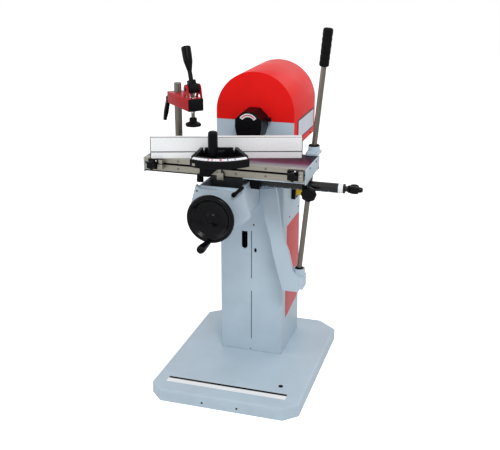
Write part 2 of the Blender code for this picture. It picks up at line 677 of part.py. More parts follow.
def build_hood():
    """Arched motor cover, its front panel, its plate and the cradle it closes."""
    front, back = HOOD_Y
    sheet = HOOD_SHEET
    hood = prism("motor_hood", arch(HOOD_HALF, HOOD_ARCH_Z, HOOD_BOTTOM), (-back, -front), True)
    put(hood, None, (0, 0, 0), FACE_FRONT)
    core = prism("hood_core", arch(HOOD_HALF - sheet, HOOD_ARCH_Z, HOOD_BOTTOM - OVERSHOOT),
                 (sheet - back, -front - sheet))
    put(core, None, (0, 0, 0), FACE_FRONT)
    panel_front, panel_back = PANEL_Y
    room = block("panel_room", centred(0, HOOD_HALF + OVERSHOOT), (panel_front - OVERSHOOT, panel_back + GAP),
                 (HOOD_BOTTOM - OVERSHOOT, HOOD_SPLIT_Z))
    port = put(rod("hood_port", PORT_RADIUS, (-panel_back - OVERSHOOT, OVERSHOOT - panel_front)), None,
               (0, 0, SPINDLE_Z), FACE_FRONT)
    cut(hood, core, room, port)
    paint(hood, HOOD_RED, PAINTED)
    panel = block("front_panel", centred(0, HOOD_HALF), PANEL_Y, (HOOD_BOTTOM, PANEL_TOP))
    cut(panel, put(rod("panel_port", PORT_RADIUS, (-panel_back - OVERSHOOT, OVERSHOOT - panel_front)), None,
                   (0, 0, SPINDLE_Z), FACE_FRONT))
    paint(panel, PALE_PAINT, PAINTED)
    low, high = CRADLE_Z
    thick = CRADLE_SHEET
    section = ((-CRADLE_X, low), (CRADLE_X, low), (CRADLE_X, high), (CRADLE_X - thick, high),
               (CRADLE_X - thick, low + thick), (thick - CRADLE_X, low + thick), (thick - CRADLE_X, high),
               (-CRADLE_X, high))
    cradle_front, cradle_back = CRADLE_Y
    cradle = prism("motor_cradle", section, (-cradle_back, -cradle_front))
    paint(put(cradle, None, (0, 0, 0), FACE_FRONT), PALE_PAINT, PAINTED)
    paint(block("side_plate", PLATE_X, PLATE_Y, PLATE_Z), BRIGHT, BRUSHED)


def build_motor():
    """Motor on its foot, the spindle it drives and the holder for the bit."""
    at = (0, MOTOR_FRONT_Y, SPINDLE_Z)
    backward = (-pi / 2, 0, 0)
    full = ((0.0, 0.0),) + MOTOR_PROFILE[1:-1] + ((0.0, MOTOR_PROFILE[-1][1]),)
    motor = put(turned("motor", full, FINE), None, at, backward)
    weld(motor, block("motor_foot", MOTOR_FOOT_X, MOTOR_FOOT_Y, MOTOR_FOOT_Z))
    cut(motor, put(rod("motor_bore", MOTOR_BORE, (-OVERSHOOT, MOTOR_BORE_DEPTH)), None, at, backward))
    paint(motor, STEEL, PAINTED)
    front, back = SPINDLE_Y
    holder = body("spindle", (0, front, SPINDLE_Z))
    nose = turned("spindle", BIT_HOLDER_PROFILE)
    shaft = rod("spindle_shaft", SHAFT_RADIUS, (front - BIT_HOLDER_Y - OVERSHOOT, back - BIT_HOLDER_Y))
    weld(nose, shaft)
    paint(helper_with(nose, holder, (0, BIT_HOLDER_Y, SPINDLE_Z), backward, shaft), STEEL, POLISHED)


def ring_at(half, depth_y):
    """One cross outline of the guard, at one depth."""
    return [(x, depth_y, SPINDLE_Z + z) for x, z in mirrored(half)]


def build_guard():
    """Faceted guard, open below and behind, and its side knob."""
    guard = loft("bit_guard", (ring_at(GUARD_FRONT, GUARD_FRONT_Y), ring_at(GUARD_BACK, GUARD_BACK_Y)))
    core_front, core_back = GUARD_CORE_Y
    core = loft("guard_core", (ring_at(GUARD_CORE_FRONT, core_front), ring_at(GUARD_CORE_BACK, core_back)))
    hole = put(rod("bit_hole", BIT_HOLE_RADIUS, (-OVERSHOOT, OVERSHOOT)), None, (0, GUARD_FRONT_Y, SPINDLE_Z),
               FACE_FRONT)
    cut(guard, core, hole)
    paint(guard, BLACK, PLASTIC)
    holder = body("guard_knob", GUARD_KNOB_AT)
    knob = turned("guard_knob", GUARD_KNOB_PROFILE, SMALL)
    paint(put(knob, holder, GUARD_KNOB_AT, FACE_RIGHT), BLACK, PLASTIC)


def build_switch():
    """Switch box with two sprung buttons and a flap."""
    box = block("switch_box", SWITCH_X, SWITCH_Y, SWITCH_Z)
    face = SWITCH_X[1]
    for name, y in (("start", START_BUTTON_Y), ("stop", STOP_BUTTON_Y)):
        bore = rod(name + "_bore", BUTTON_BORE, (-BUTTON_BORE_DEPTH, OVERSHOOT), SMALL)
        cut(box, put(bore, None, (face, y, BUTTON_Z), FACE_RIGHT))
    paint(box, BLACK, PLASTIC)
    for name, y, colour in (("start_button", START_BUTTON_Y, GREEN), ("stop_button", STOP_BUTTON_Y, CLAMP_RED)):
        at = (BUTTON_X, y, BUTTON_Z)
        button = turned(name, BUTTON_PROFILE, SMALL)
        paint(put(button, body(name, at), at, FACE_RIGHT), colour, PLASTIC)
    hinge = (FLAP_X[0], sum(FLAP_Y) / 2, FLAP_Z[0])
    flap = block("switch_flap", FLAP_X, FLAP_Y, FLAP_Z, body("switch_flap", hinge))
    paint(flap, YELLOW, PLASTIC)


def build_knee():
    """Lifting knee with its two cross bars; returns the body that carries it."""
    knee_body = body("knee", (SHAFT_X, GUIDE_Y, SHAFT_Z))
    front, back = KNEE_Y
    low, high = KNEE_Z
    knee = block("knee", centred(KNEE_X, KNEE_HALF), KNEE_Y, KNEE_Z, knee_body)
    face_front, face_back = KNEE_FACE_Y
    outline = mirrored(KNEE_FACE)
    face = prism("knee_face", outline, (-face_back, -face_front))
    put(face, knee_body, (KNEE_X, 0, 0), FACE_FRONT)
    inner = centred(KNEE_X, KNEE_HALF - KNEE_WALL)
    trough_y = (face_back, back - KNEE_END_WALL)
    trough = block("knee_trough", inner, trough_y, (TROUGH_FLOOR_Z, high + OVERSHOOT), knee_body)
    tunnel = block("knee_tunnel", inner, trough_y, (low - OVERSHOOT, TUNNEL_ROOF_Z), knee_body)
    bore = rod("knee_shaft_bore", WHEEL_SHAFT_BORE, (-back - OVERSHOOT, OVERSHOOT - face_front))
    put(bore, knee_body, (SHAFT_X, 0, SHAFT_Z), FACE_FRONT)
    weld(knee, face)
    cut(knee, trough, tunnel, bore)
    paint(knee, PALE_PAINT, PAINTED)
    bar_front, bar_back = CROSS_BAR_Y
    for name, at in zip(("cross_bar_left", "cross_bar_right"),
                        place_pair((KNEE_X, 0, CROSS_BAR_Z), CROSS_BAR_REACH)):
        bar = rod(name, CROSS_BAR_RADIUS, (-bar_back, -bar_front))
        paint(put(bar, knee_body, at, FACE_FRONT), STEEL, POLISHED)
    lock_body = body("knee_lock", KNEE_LOCK_AT, knee_body)
    lock = turned("knee_lock_lever", KNEE_LOCK_PROFILE, SMALL)
    blade = prism("knee_lock_blade", KNEE_LOCK_BLADE, KNEE_LOCK_BLADE_SPAN)
    lean = (pi / 2, -KNEE_LOCK_LEAN, 0)
    weld(lock, blade)
    paint(helper_with(lock, lock_body, KNEE_LOCK_AT, lean, blade), BLACK, PLASTIC)
    return knee_body


def build_carriage(knee_body):
    """Lift carriage that runs on the guide bars and reaches the knee through the slot."""
    carriage = block("lift_carriage", centred(SHAFT_X, WEB_HALF), WEB_Y, WEB_Z, knee_body)
    neck = block("carriage_neck", centred(SHAFT_X, NECK_HALF), NECK_Y, NECK_Z, knee_body)
    flange = block("carriage_flange", centred(SHAFT_X, FLANGE_HALF), FLANGE_Y, NECK_Z, knee_body)
    upper = block("carriage_upper", centred(SHAFT_X, WEB_HALF), SHELF_Y, TOP_SHELF_Z, knee_body)
    lower = block("carriage_lower", centred(SHAFT_X, WEB_HALF), SHELF_Y, LOW_SHELF_Z, knee_body)
    weld(carriage, neck, flange, upper, lower)
    low, high = WEB_Z
    through = (low - OVERSHOOT, high + OVERSHOOT)
    for index, at in enumerate(place_pair((SHAFT_X, GUIDE_Y, 0), GUIDE_REACH)):
        cut(carriage, put(rod("carriage_guide_bore_%d" % index, GUIDE_BORE, through), knee_body, at))
    shelf = (low - OVERSHOOT, LOW_SHELF_Z[1] + OVERSHOOT)
    cut(carriage, put(rod("carriage_screw_bore", SCREW_BORE, shelf), knee_body, (SHAFT_X, GUIDE_Y, 0)))
    front, back = FLANGE_Y[0], WEB_Y[1]
    bore = rod("carriage_shaft_bore", WHEEL_SHAFT_BORE, (-back - OVERSHOOT, OVERSHOOT - front))
    cut(carriage, put(bore, knee_body, (SHAFT_X, 0, SHAFT_Z), FACE_FRONT))
    paint(carriage, STEEL, BRUSHED)


def bevel_profile(hub_end):
    """Half profile of a bevel gear that meets its twin at forty-five degrees, apex at zero height."""
    return ((0.0, -hub_end), (BEVEL_HUB, -hub_end), (BEVEL_HUB, -BEVEL_FAR), (BEVEL_FAR - BEVEL_EASE, -BEVEL_FAR),
            (BEVEL_NEAR - BEVEL_EASE, -BEVEL_NEAR), (0.0, -BEVEL_NEAR))


def build_wheel(knee_body):
    """Handwheel, its shaft with a bevel gear, the crank grip, and the lift screw."""
    wheel_at = (SHAFT_X, WHEEL_Y, SHAFT_Z)
    wheel_body = body("handwheel", wheel_at, knee_body)
    wheel = turned("handwheel", WHEEL_PROFILE, FINE)
    paint(put(wheel, wheel_body, wheel_at, FACE_FRONT), BLACK, PLASTIC)
    front, back = WHEEL_SHAFT_Y
    apex = (SHAFT_X, GUIDE_Y, SHAFT_Z)
    backward = (-pi / 2, 0, 0)
    hub_end = BEVEL_FAR + BEVEL_HUB_DEPTH
    shaft = turned("wheel_shaft", bevel_profile(hub_end))
    length = rod("wheel_shaft_length", WHEEL_SHAFT_RADIUS, (front - GUIDE_Y, back - GUIDE_Y))
    weld(shaft, length)
    paint(helper_with(shaft, wheel_body, apex, backward, length), STEEL, POLISHED)
    crank_at = (SHAFT_X, CRANK_AT_Y, SHAFT_Z - CRANK_REACH)
    crank = turned("crank_grip", CRANK_PROFILE)
    paint(put(crank, body("crank", crank_at, wheel_body), crank_at, FACE_FRONT), BLACK, PLASTIC)
    screw_body = body("lift_screw", apex, knee_body)
    gear_end = SHAFT_Z - LOW_SHELF_Z[1] - GAP
    screw = turned("lift_screw", bevel_profile(gear_end))
    length = rod("lift_screw_length", SCREW_RADIUS, (SCREW_BOTTOM_Z - SHAFT_Z, -BEVEL_FAR))
    weld(screw, length)
    paint(helper_with(screw, screw_body, apex, FACE_UP, length), STEEL, POLISHED)


def build_lever(knee_body):
    """Arm under the table, with the cup, the swivel ring and the long hand lever."""
    front, back = ARM_Y
    arm = prism("lever_arm", ARM_OUTLINE, (-back, -front))
    put(arm, knee_body, (0, 0, 0), FACE_FRONT)
    foot = block("arm_foot", FOOT_X, FOOT_Y, FOOT_Z, knee_body)
    cup = turned("arm_cup", CUP_PROFILE)
    put(cup, knee_body, LEVER_AT)
    pin_room = rod("cup_pin_bore", CUP_PIN_BORE, (-CUP_PIN_SPAN, CUP_PIN_SPAN), SMALL)
    put(pin_room, knee_body, LEVER_AT, FACE_RIGHT)
    weld(arm, foot, cup)
    cut(arm, pin_room)
    paint(arm, PALE_PAINT, PAINTED)
    cross_body = body("lever_cross", LEVER_AT, knee_body)
    ring = turned("swivel_ring", RING_PROFILE)
    near, far = RING_PIN_SPAN
    right = rod("ring_pin_right", RING_PIN_RADIUS, (near, far), SMALL)
    left = rod("ring_pin_left", RING_PIN_RADIUS, (-far, -near), SMALL)
    bore = rod("ring_bore", CUP_PIN_BORE, (-CUP_PIN_SPAN, CUP_PIN_SPAN), SMALL)
    put(ring, cross_body, LEVER_AT)
    put(right, cross_body, LEVER_AT, FACE_RIGHT)
    put(left, cross_body, LEVER_AT, FACE_RIGHT)
    put(bore, cross_body, LEVER_AT, FACE_FRONT)
    weld(ring, right, left)
    cut(ring, bore)
    paint(ring, STEEL, BRUSHED)
    lever_body = body("lever", LEVER_AT, cross_body)
    lean = (0, LEVER_LEAN, 0)
    lever = turned("lever_rod", ROD_PROFILE)
    pin = rod("rod_pin", RING_PIN_RADIUS, (-ROD_PIN_SPAN, ROD_PIN_SPAN), SMALL)
    put(lever, lever_body, LEVER_AT, lean)
    put(pin, lever_body, LEVER_AT, FACE_FRONT)
    weld(lever, pin)
    paint(lever, STEEL, POLISHED)
    x, y, z = LEVER_AT
    start = (x + GRIP_START * sin(LEVER_LEAN), y, z + GRIP_START * cos(LEVER_LEAN))
    paint(put(turned("lever_grip", GRIP_PROFILE), lever_body, start, lean), RUBBER, PLASTIC)


def build_saddle(knee_body):
    """Saddle with crossed bores for the cross bars and the table runners; returns its body."""
    saddle_body = body("saddle", (KNEE_X, sum(SADDLE_UP_Y) / 2, SADDLE_UP_Z[0]), knee_body)
    saddle = block("saddle", SADDLE_UP_X, SADDLE_UP_Y, SADDLE_UP_Z, saddle_body)
    weld(saddle, block("saddle_root", centred(KNEE_X, SADDLE_LOW_HALF), SADDLE_UP_Y, SADDLE_LOW_Z, saddle_body))
    front, back = SADDLE_UP_Y
    for index, at in enumerate(place_pair((KNEE_X, 0, CROSS_BAR_Z), CROSS_BAR_REACH)):
        bore = rod("saddle_cross_bore_%d" % index, CROSS_BAR_BORE, (-back - OVERSHOOT, OVERSHOOT - front))
        cut(saddle, put(bore, saddle_body, at, FACE_FRONT))
    left, right = SADDLE_UP_X
    for index, y in enumerate((RUNNER_FRONT_Y, RUNNER_REAR_Y)):
        bore = rod("saddle_runner_bore_%d" % index, RUNNER_BORE, (left - OVERSHOOT, right + OVERSHOOT))
        cut(saddle, put(bore, saddle_body, (0, y, RUNNER_Z), FACE_RIGHT))
    paint(saddle, STEEL, PAINTED)
    bracket = block("index_bracket", INDEX_BRACKET_ARM_X, INDEX_BRACKET_Y, INDEX_BRACKET_ARM_Z, saddle_body)
    weld(bracket, block("index_boss", INDEX_BOSS_X, INDEX_BRACKET_Y, INDEX_BOSS_Z, saddle_body))
    x, y, z = INDEX_AT
    bore = rod("index_bore", INDEX_BORE, (-OVERSHOOT, INDEX_BOSS_X[1]))
    cut(bracket, put(bore, saddle_body, (INDEX_AT[0], y, z), FACE_RIGHT))
    paint(bracket, BLACK, PAINTED)
    bar_body = body("index_bar", INDEX_AT, saddle_body)
    bar = turned("index_bar", INDEX_BAR_PROFILE)
    paint(put(bar, bar_body, INDEX_AT, FACE_RIGHT), BLACK, PLASTIC)
    star = star_at("index_star_knob", bar_body, (x + STAR_KNOB_OUT, y, z), FACE_RIGHT, INDEX_STAR_STEM, INDEX_STAR_SPAN)
    paint(star, BLACK, PLASTIC)
    return saddle_body


def build_table(saddle_body):
    """Table plate, slotted front rail, end plates and the two runners below; returns its body."""
    table_body = body("table", (sum(TABLE_X) / 2, sum(TABLE_Y) / 2, TABLE_Z[0]), saddle_body)
    paint(block("table_plate", TABLE_X, TABLE_Y, TABLE_Z, table_body), BRIGHT, POLISHED)
    rail = block("table_rail", TABLE_X, RAIL_Y, RAIL_Z, table_body)
    wide = (TABLE_X[0] - OVERSHOOT, TABLE_X[1] + OVERSHOOT)
    cut(rail, block("rail_slot", wide, RAIL_SLOT_Y, RAIL_SLOT_Z, table_body),
        block("rail_undercut", wide, RAIL_UNDERCUT_Y, RAIL_UNDERCUT_Z, table_body))
    paint(rail, BRIGHT, BRUSHED)
    for name, span in (("end_plate_left", LEFT_PLATE_X), ("end_plate_right", RIGHT_PLATE_X)):
        plate = prism(name, END_PLATE, span)
        paint(put(plate, table_body, (0, 0, 0), FACE_RIGHT), PALE_PAINT, PAINTED)
    for name, y in (("runner_front", RUNNER_FRONT_Y), ("runner_rear", RUNNER_REAR_Y)):
        paint(put(rod(name, RUNNER_RADIUS, RUNNER_X), table_body, (0, y, RUNNER_Z), FACE_RIGHT), STEEL, POLISHED)
    carrier = block("index_carrier", CARRIER_X, CARRIER_Y, CARRIER_Z, table_body)
    weld(carrier, block("carrier_lug", CARRIER_LUG_X, CARRIER_LUG_Y, CARRIER_LUG_Z, table_body))
    bore = rod("carrier_bore", CARRIER_BORE, (CARRIER_X[0] - OVERSHOOT, CARRIER_X[1] + OVERSHOOT))
    cut(carrier, put(bore, table_body, (0, INDEX_AT[1], INDEX_AT[2]), FACE_RIGHT))
    paint(carrier, BLACK, PAINTED)
    knob = turned("index_knob", INDEX_KNOB_PROFILE)
    paint(put(knob, body("index_knob", INDEX_KNOB_AT, table_body), INDEX_KNOB_AT, FACE_FRONT), BLACK, PLASTIC)
    bracket = prism("lever_bracket", UPPER_BRACKET, UPPER_BRACKET_Z)
    put(bracket, table_body, (0, 0, 0))
    x, y = BUSH_AT
    low, high = BUSH_Z
    weld(bracket, put(rod("bush_boss", BUSH_OUTER, BUSH_Z), table_body, (x, y, 0)))
    bore = rod("bush_bore", BUSH_BORE, (UPPER_BRACKET_Z[0] - OVERSHOOT, high + OVERSHOOT))
    cut(bracket, put(bore, table_body, (x, y, 0)))
    paint(bracket, PALE_PAINT, PAINTED)
    paint(put(turned("lever_boot", BOOT_PROFILE), table_body, (x, y, BOOT_Z)), RUBBER, PLASTIC)
    return table_body


def build_stops(table_body):
    """Two end stops that slide in the rail slot, each with its lobed knob."""
    for side, span, knob_at in (("left", STOP_LEFT_X, STOP_LEFT_KNOB_AT), ("right", STOP_RIGHT_X, STOP_RIGHT_KNOB_AT)):
        low, high = span
        stop_body = body("stop_" + side, (sum(span) / 2, STOP_Y[1], sum(STOP_Z) / 2), table_body)
        stop = block("stop_" + side, span, STOP_Y, STOP_Z, stop_body)
        key = (low + STOP_KEY_TRIM, high - STOP_KEY_TRIM)
        weld(stop, block("stop_key_" + side, key, STOP_KEY_Y, STOP_KEY_Z, stop_body))
        paint(stop, BLACK, PAINTED)
        holder = body("stop_knob_" + side, knob_at, stop_body)
        paint(star_at("stop_knob_" + side, holder, knob_at, FACE_FRONT), BLACK, PLASTIC)


def sector(radius, half_angle, back, back_half):
    """Outline of the mitre head: straight back, slanted flanks and a round scale edge at the front."""
    points = [(-back_half, back)]
    for index in range(HEAD_SCALE_STEPS + 1):
        angle = -pi / 2 - half_angle + 2 * half_angle * index / HEAD_SCALE_STEPS
        points.append((radius * cos(angle), radius * sin(angle)))
    points.append((back_half, back))
    return points


def build_mitre(table_body):
    """Sliding mitre base, the turning head with its fence, and the knobs that lock them."""
    x, y = PIVOT
    slide_body = body("mitre_slide", (x, y, MITRE_BAR_Z[0]), table_body)
    base = block("mitre_base", centred(x, MITRE_BAR_HALF), MITRE_BAR_Y, MITRE_BAR_Z, slide_body)
    parts = (block("mitre_wing", MITRE_WING_X, MITRE_WING_Y, MITRE_WING_Z, slide_body),
             block("mitre_block", MITRE_BLOCK_X, MITRE_BLOCK_Y, MITRE_BLOCK_Z, slide_body),
             block("mitre_neck", MITRE_NECK_X, MITRE_KEY_Y, MITRE_NECK_Z, slide_body),
             block("mitre_key", MITRE_KEY_X, MITRE_KEY_Y, MITRE_KEY_Z, slide_body),
             block("mitre_tongue", MITRE_BLOCK_X, MITRE_T_Y, MITRE_T_Z, slide_body),
             block("mitre_lug", MITRE_LUG_X, MITRE_LUG_Y, MITRE_LUG_Z, slide_body),
             put(rod("mitre_pin", MITRE_PIN_RADIUS, (MITRE_BAR_Z[0], MITRE_PIN_TOP)), slide_body, (x, y, 0)))
    weld(base, *parts)
    paint(base, BLACK, PAINTED)
    knob = turned("mitre_knob", MITRE_KNOB_PROFILE, SMALL)
    paint(put(knob, body("mitre_knob", MITRE_KNOB_AT, slide_body), MITRE_KNOB_AT, FACE_FRONT), BLACK, PLASTIC)
    head_body = body("mitre_head", (x, y, HEAD_Z[0]), slide_body)
    turn = (0, 0, MITRE_REST)
    at = (x, y, 0)
    head = prism("mitre_head", sector(HEAD_SCALE_RADIUS, HEAD_SCALE_HALF, HEAD_BACK, HEAD_BACK_HALF), HEAD_Z)
    pocket = prism("head_pocket", sector(HEAD_POCKET_RADIUS, HEAD_POCKET_HALF, HEAD_POCKET_BACK,
                                         HEAD_POCKET_BACK_HALF), (HEAD_POCKET_Z, HEAD_Z[1] + OVERSHOOT))
    post = rod("head_post", HEAD_POST_RADIUS, (HEAD_Z[0] + GAP, HEAD_Z[1] - OVERSHOOT))
    back_trim = block("head_back_trim", centred(0, HEAD_BACK_HALF), (HEAD_BACK, HEAD_BACK + HEAD_POST_RADIUS),
                      (HEAD_Z[0] - OVERSHOOT, HEAD_Z[1] + OVERSHOOT))
    bore = rod("head_bore", HEAD_PIN_BORE, (HEAD_Z[0] - OVERSHOOT, MITRE_PIN_TOP + GAP))
    cut(head, pocket)
    weld(head, post)
    cut(head, back_trim, bore)
    for piece in (head, pocket, post, bore):
        put(piece, head_body, at, turn)
    middle = back_trim.location.copy()
    place = Vector((x - middle.y * sin(MITRE_REST), y + middle.y * cos(MITRE_REST), middle.z))
    put(back_trim, head_body, place, turn)
    paint(head, BLACK, PAINTED)
    fence = prism("fence", fence_section(), FENCE_X)
    yaw = (pi / 2, 0, pi / 2 + MITRE_REST)
    paint(put(fence, head_body, at, yaw), ALUMINIUM, BRUSHED)
    angle = LOCK_TURN - pi / 2
    lock_at = (x + LOCK_REACH * cos(angle), y + LOCK_REACH * sin(angle), LOCK_Z)
    lock = turned("mitre_lock_knob", LOCK_PROFILE)
    paint(put(lock, body("mitre_lock", lock_at, head_body), lock_at), BLACK, PLASTIC)


def fence_section():
    """Fence section across its length: a face groove and a slot in the back."""
    low, high = FENCE_Z
    front = FENCE_FACE
    back = FENCE_FACE + FENCE_DEPTH
    groove_low, groove_high = FENCE_GROOVE_Z
    slot_low, slot_high = FENCE_SLOT_Z
    return ((front, low), (back, low), (back, slot_low), (back - FENCE_SLOT_DEPTH, slot_low),
            (back - FENCE_SLOT_DEPTH, slot_high), (back, slot_high), (back, high), (front, high),
            (front, groove_high), (front + FENCE_GROOVE_DEPTH, groove_high),
            (front + FENCE_GROOVE_DEPTH, groove_low), (front, groove_low))


def along_arm(out, side, height):
    """A place given along the clamp arm, across it and upward."""
    x, y = POST_AT
    return (x + out * cos(CLAMP_TURN) - side * sin(CLAMP_TURN),
            y + out * sin(CLAMP_TURN) + side * cos(CLAMP_TURN), height)


def arm_block(name, outs, sides, heights, holder):
    """A rectangular shape squared to the clamp arm."""
    piece = block(name, outs, sides, heights)
    out, side, height = piece.location
    return put(piece, holder, along_arm(out, side, height), (0, 0, CLAMP_TURN))


def cam_outline():
    """Cam whose radius grows evenly over its working sweep, so the spindle sinks evenly."""
    points = []
    top = CAM_BASE_RADIUS + CAM_GROWTH * CAM_SWEEP
    for index in range(CAM_STEPS):
        turn = FULL_TURN * index / CAM_STEPS
        if turn <= CAM_SWEEP:
            radius = CAM_BASE_RADIUS + CAM_GROWTH * turn
        else:
            rest = (turn - CAM_SWEEP) / (FULL_TURN - CAM_SWEEP)
            radius = top + (CAM_BASE_RADIUS - top) * rest
        angle = -pi / 2 + turn
        points.append((radius * cos(angle), radius * sin(angle)))
    return points


def build_clamp(table_body):
    """Clamp on its post: sliding arm, cam lever, sinking spindle with foot, and lock lever."""
    x, y = POST_AT
    post_body = body("clamp_post", (x, y, TABLE_Z[1]), table_body)
    paint(put(turned("clamp_post", POST_PROFILE), post_body, (x, y, 0)), STEEL, POLISHED)
    low, high = CLAMP_ARM_Z
    arm_body = body("clamp_arm", (x, y, low), post_body)
    arm = arm_block("clamp_arm", CLAMP_ARM_OUT, centred(0, CLAMP_ARM_HALF), CLAMP_ARM_Z, arm_body)
    near, far = CLAMP_ARM_OUT
    wall = CLAMP_ARM_WALL
    hollow = arm_block("arm_hollow", (near + CLAMP_PLUG, far - CLAMP_PLUG), centred(0, CLAMP_ARM_HALF - wall),
                       (low + wall, high - wall), arm_body)
    sleeve = put(rod("arm_sleeve", CLAMP_SLEEVE, (low + TINY, high - TINY)), arm_body, (x, y, 0))
    through = (low - OVERSHOOT, high + OVERSHOOT)
    bore = put(rod("arm_bore", CLAMP_POST_BORE, through), arm_body, (x, y, 0))
    spindle_at = along_arm(SPINDLE_OUT, 0, 0)
    spindle_bore = put(rod("arm_spindle_bore", SPINDLE_BORE, through, SMALL), arm_body, spindle_at)
    cut(arm, hollow)
    weld(arm, sleeve)
    near_ear, far_ear = EAR_OFFSETS
    across = (pi / 2, 0, CLAMP_TURN)
    for name, span in (("ear_front", (near_ear, far_ear)), ("ear_rear", (-far_ear, -near_ear))):
        weld(arm, put(prism(name, EAR_OUTLINE, span), arm_body, (x, y, 0), across))
    hub_at = along_arm(SPINDLE_OUT, 0, CAM_Z)
    pin = put(rod("ear_pin", CAM_PIN_RADIUS, (-CAM_PIN_HALF, CAM_PIN_HALF), SMALL), arm_body, hub_at, across)
    weld(arm, pin)
    cut(arm, bore, spindle_bore)
    paint(arm, CLAMP_RED, PAINTED)
    cam_body = body("cam", hub_at, arm_body)
    cam = prism("cam_lever", cam_outline(), (-CAM_HALF, CAM_HALF), True)
    put(cam, cam_body, hub_at, across)
    upright = (0, CAM_STEM_LEAN, CLAMP_TURN)
    stem = put(turned("cam_stem", CAM_ROD_PROFILE), cam_body, hub_at, upright)
    eye = put(rod("cam_eye", CAM_BORE, (-CAM_PIN_HALF, CAM_PIN_HALF), SMALL), cam_body, hub_at, across)
    weld(cam, stem)
    cut(cam, eye)
    paint(cam, BLACK, PAINTED)
    paint(put(turned("cam_grip", CAM_GRIP_PROFILE), cam_body, hub_at, upright), BLACK, PLASTIC)
    foot_at = (spindle_at[0], spindle_at[1], CLAMP_FOOT_Z)
    spindle = turned("clamp_spindle", CLAMP_SPINDLE_PROFILE)
    paint(put(spindle, body("clamp_spindle", foot_at, arm_body), foot_at), BLACK, PLASTIC)
    lock_at = along_arm(LOCK_LEVER_OUT, LOCK_LEVER_SIDE, LOCK_LEVER_Z)
    outward = (pi / 2, LOCK_LEVER_LEAN, CLAMP_TURN - pi / 2)
    lock_body = body("clamp_lock", lock_at, arm_body)
    lock = turned("clamp_lock_lever", LOCK_HUB_PROFILE, SMALL)
    blade = prism("clamp_lock_blade", LOCK_BLADE, LOCK_BLADE_SPAN)
    weld(lock, blade)
    paint(helper_with(lock, lock_body, lock_at, outward, blade), BLACK, PLASTIC)


def main():
    """Build the machine from the floor up."""
    clear_objects()
    build_base()
    build_column()
    build_hood()
    build_motor()
    build_guard()
    build_switch()
    knee_body = build_knee()
    build_carriage(knee_body)
    build_wheel(knee_body)
    build_lever(knee_body)
    saddle_body = build_saddle(knee_body)
    table_body = build_table(saddle_body)
    build_stops(table_body)
    build_mitre(table_body)
    build_clamp(table_body)


main()
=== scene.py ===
"""Slot mortiser in a plain studio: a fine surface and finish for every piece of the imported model."""

import json

import bmesh
import bpy
import numpy as np
from bpy.props import FloatProperty, FloatVectorProperty, PointerProperty
from mathutils import Matrix, Vector

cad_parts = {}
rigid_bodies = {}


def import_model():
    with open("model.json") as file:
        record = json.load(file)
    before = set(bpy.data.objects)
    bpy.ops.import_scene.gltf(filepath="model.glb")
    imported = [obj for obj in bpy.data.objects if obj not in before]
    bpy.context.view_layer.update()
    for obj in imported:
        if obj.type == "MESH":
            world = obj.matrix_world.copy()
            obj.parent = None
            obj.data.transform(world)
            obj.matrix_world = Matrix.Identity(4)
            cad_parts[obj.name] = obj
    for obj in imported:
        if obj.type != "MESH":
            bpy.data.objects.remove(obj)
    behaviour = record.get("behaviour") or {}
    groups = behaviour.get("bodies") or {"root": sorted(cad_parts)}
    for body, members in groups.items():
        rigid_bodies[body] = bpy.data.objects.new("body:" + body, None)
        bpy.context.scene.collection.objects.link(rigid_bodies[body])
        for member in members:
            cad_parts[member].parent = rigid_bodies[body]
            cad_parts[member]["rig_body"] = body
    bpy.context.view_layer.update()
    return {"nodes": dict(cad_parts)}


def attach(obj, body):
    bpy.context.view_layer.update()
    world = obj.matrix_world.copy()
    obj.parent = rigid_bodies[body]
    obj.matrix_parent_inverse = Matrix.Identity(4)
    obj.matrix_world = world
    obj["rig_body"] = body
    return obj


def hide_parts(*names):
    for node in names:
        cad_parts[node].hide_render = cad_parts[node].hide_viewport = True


bl_info = {
    "name": "Slot Mortiser",
    "version": (1, 0, 0),
    "blender": (4, 5, 0),
    "location": "3D View > Sidebar > Mortiser",
    "description": "Dresses the packed slot mortiser with fine surfaces and real finishes",
    "category": "Object",
}

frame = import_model()
NODES = frame["nodes"]

MM = 0.001
TURN = 2 * np.pi
UP, DOWN = (0, 0, 1), (0, 0, -1)
RIGHT, LEFT = (1, 0, 0), (-1, 0, 0)
FRONT = (0, -1, 0)

# Places that several pieces share, in metres and radians.
SHAFT_X = -0.0255
SPINDLE_Z = 0.940
PORT_RADIUS = 0.027
RAIL_FACE = -0.2500
ON_TABLE = 0.8563
PIVOT_FOOT = np.array((-0.0413, -0.2014, 0))
MITRE_TURN = np.radians(18.1)
RIM_MIDDLE, RIM_HALF = np.radians(-90), np.radians(39)
POST_FOOT = np.array((-0.238, -0.072, 0))
ARM_TURN = np.radians(-45)
SPINDLE_OUT = 0.1245
LEVER_FOOT = np.array((0.194, -0.033, 0.427))
LEVER_LEAN = np.radians(5.3)
INDEX_BAR = np.array((0.062, -0.165, 0.781))
INDEX_KNOB = np.array((0.2632, -0.1963, 0.767))


def linear(code):
    """Linear colour of an sRGB hex value: the standard curve, a power of 2.4 over a short straight part."""
    srgb = np.array([int(code[i:i + 2], 16) for i in (0, 2, 4)]) / 255
    curve = np.where(srgb <= 0.04045, srgb / 12.92, ((srgb + 0.055) / 1.055) ** 2.4)
    return (*curve.tolist(), 1.0)


# Surfaces


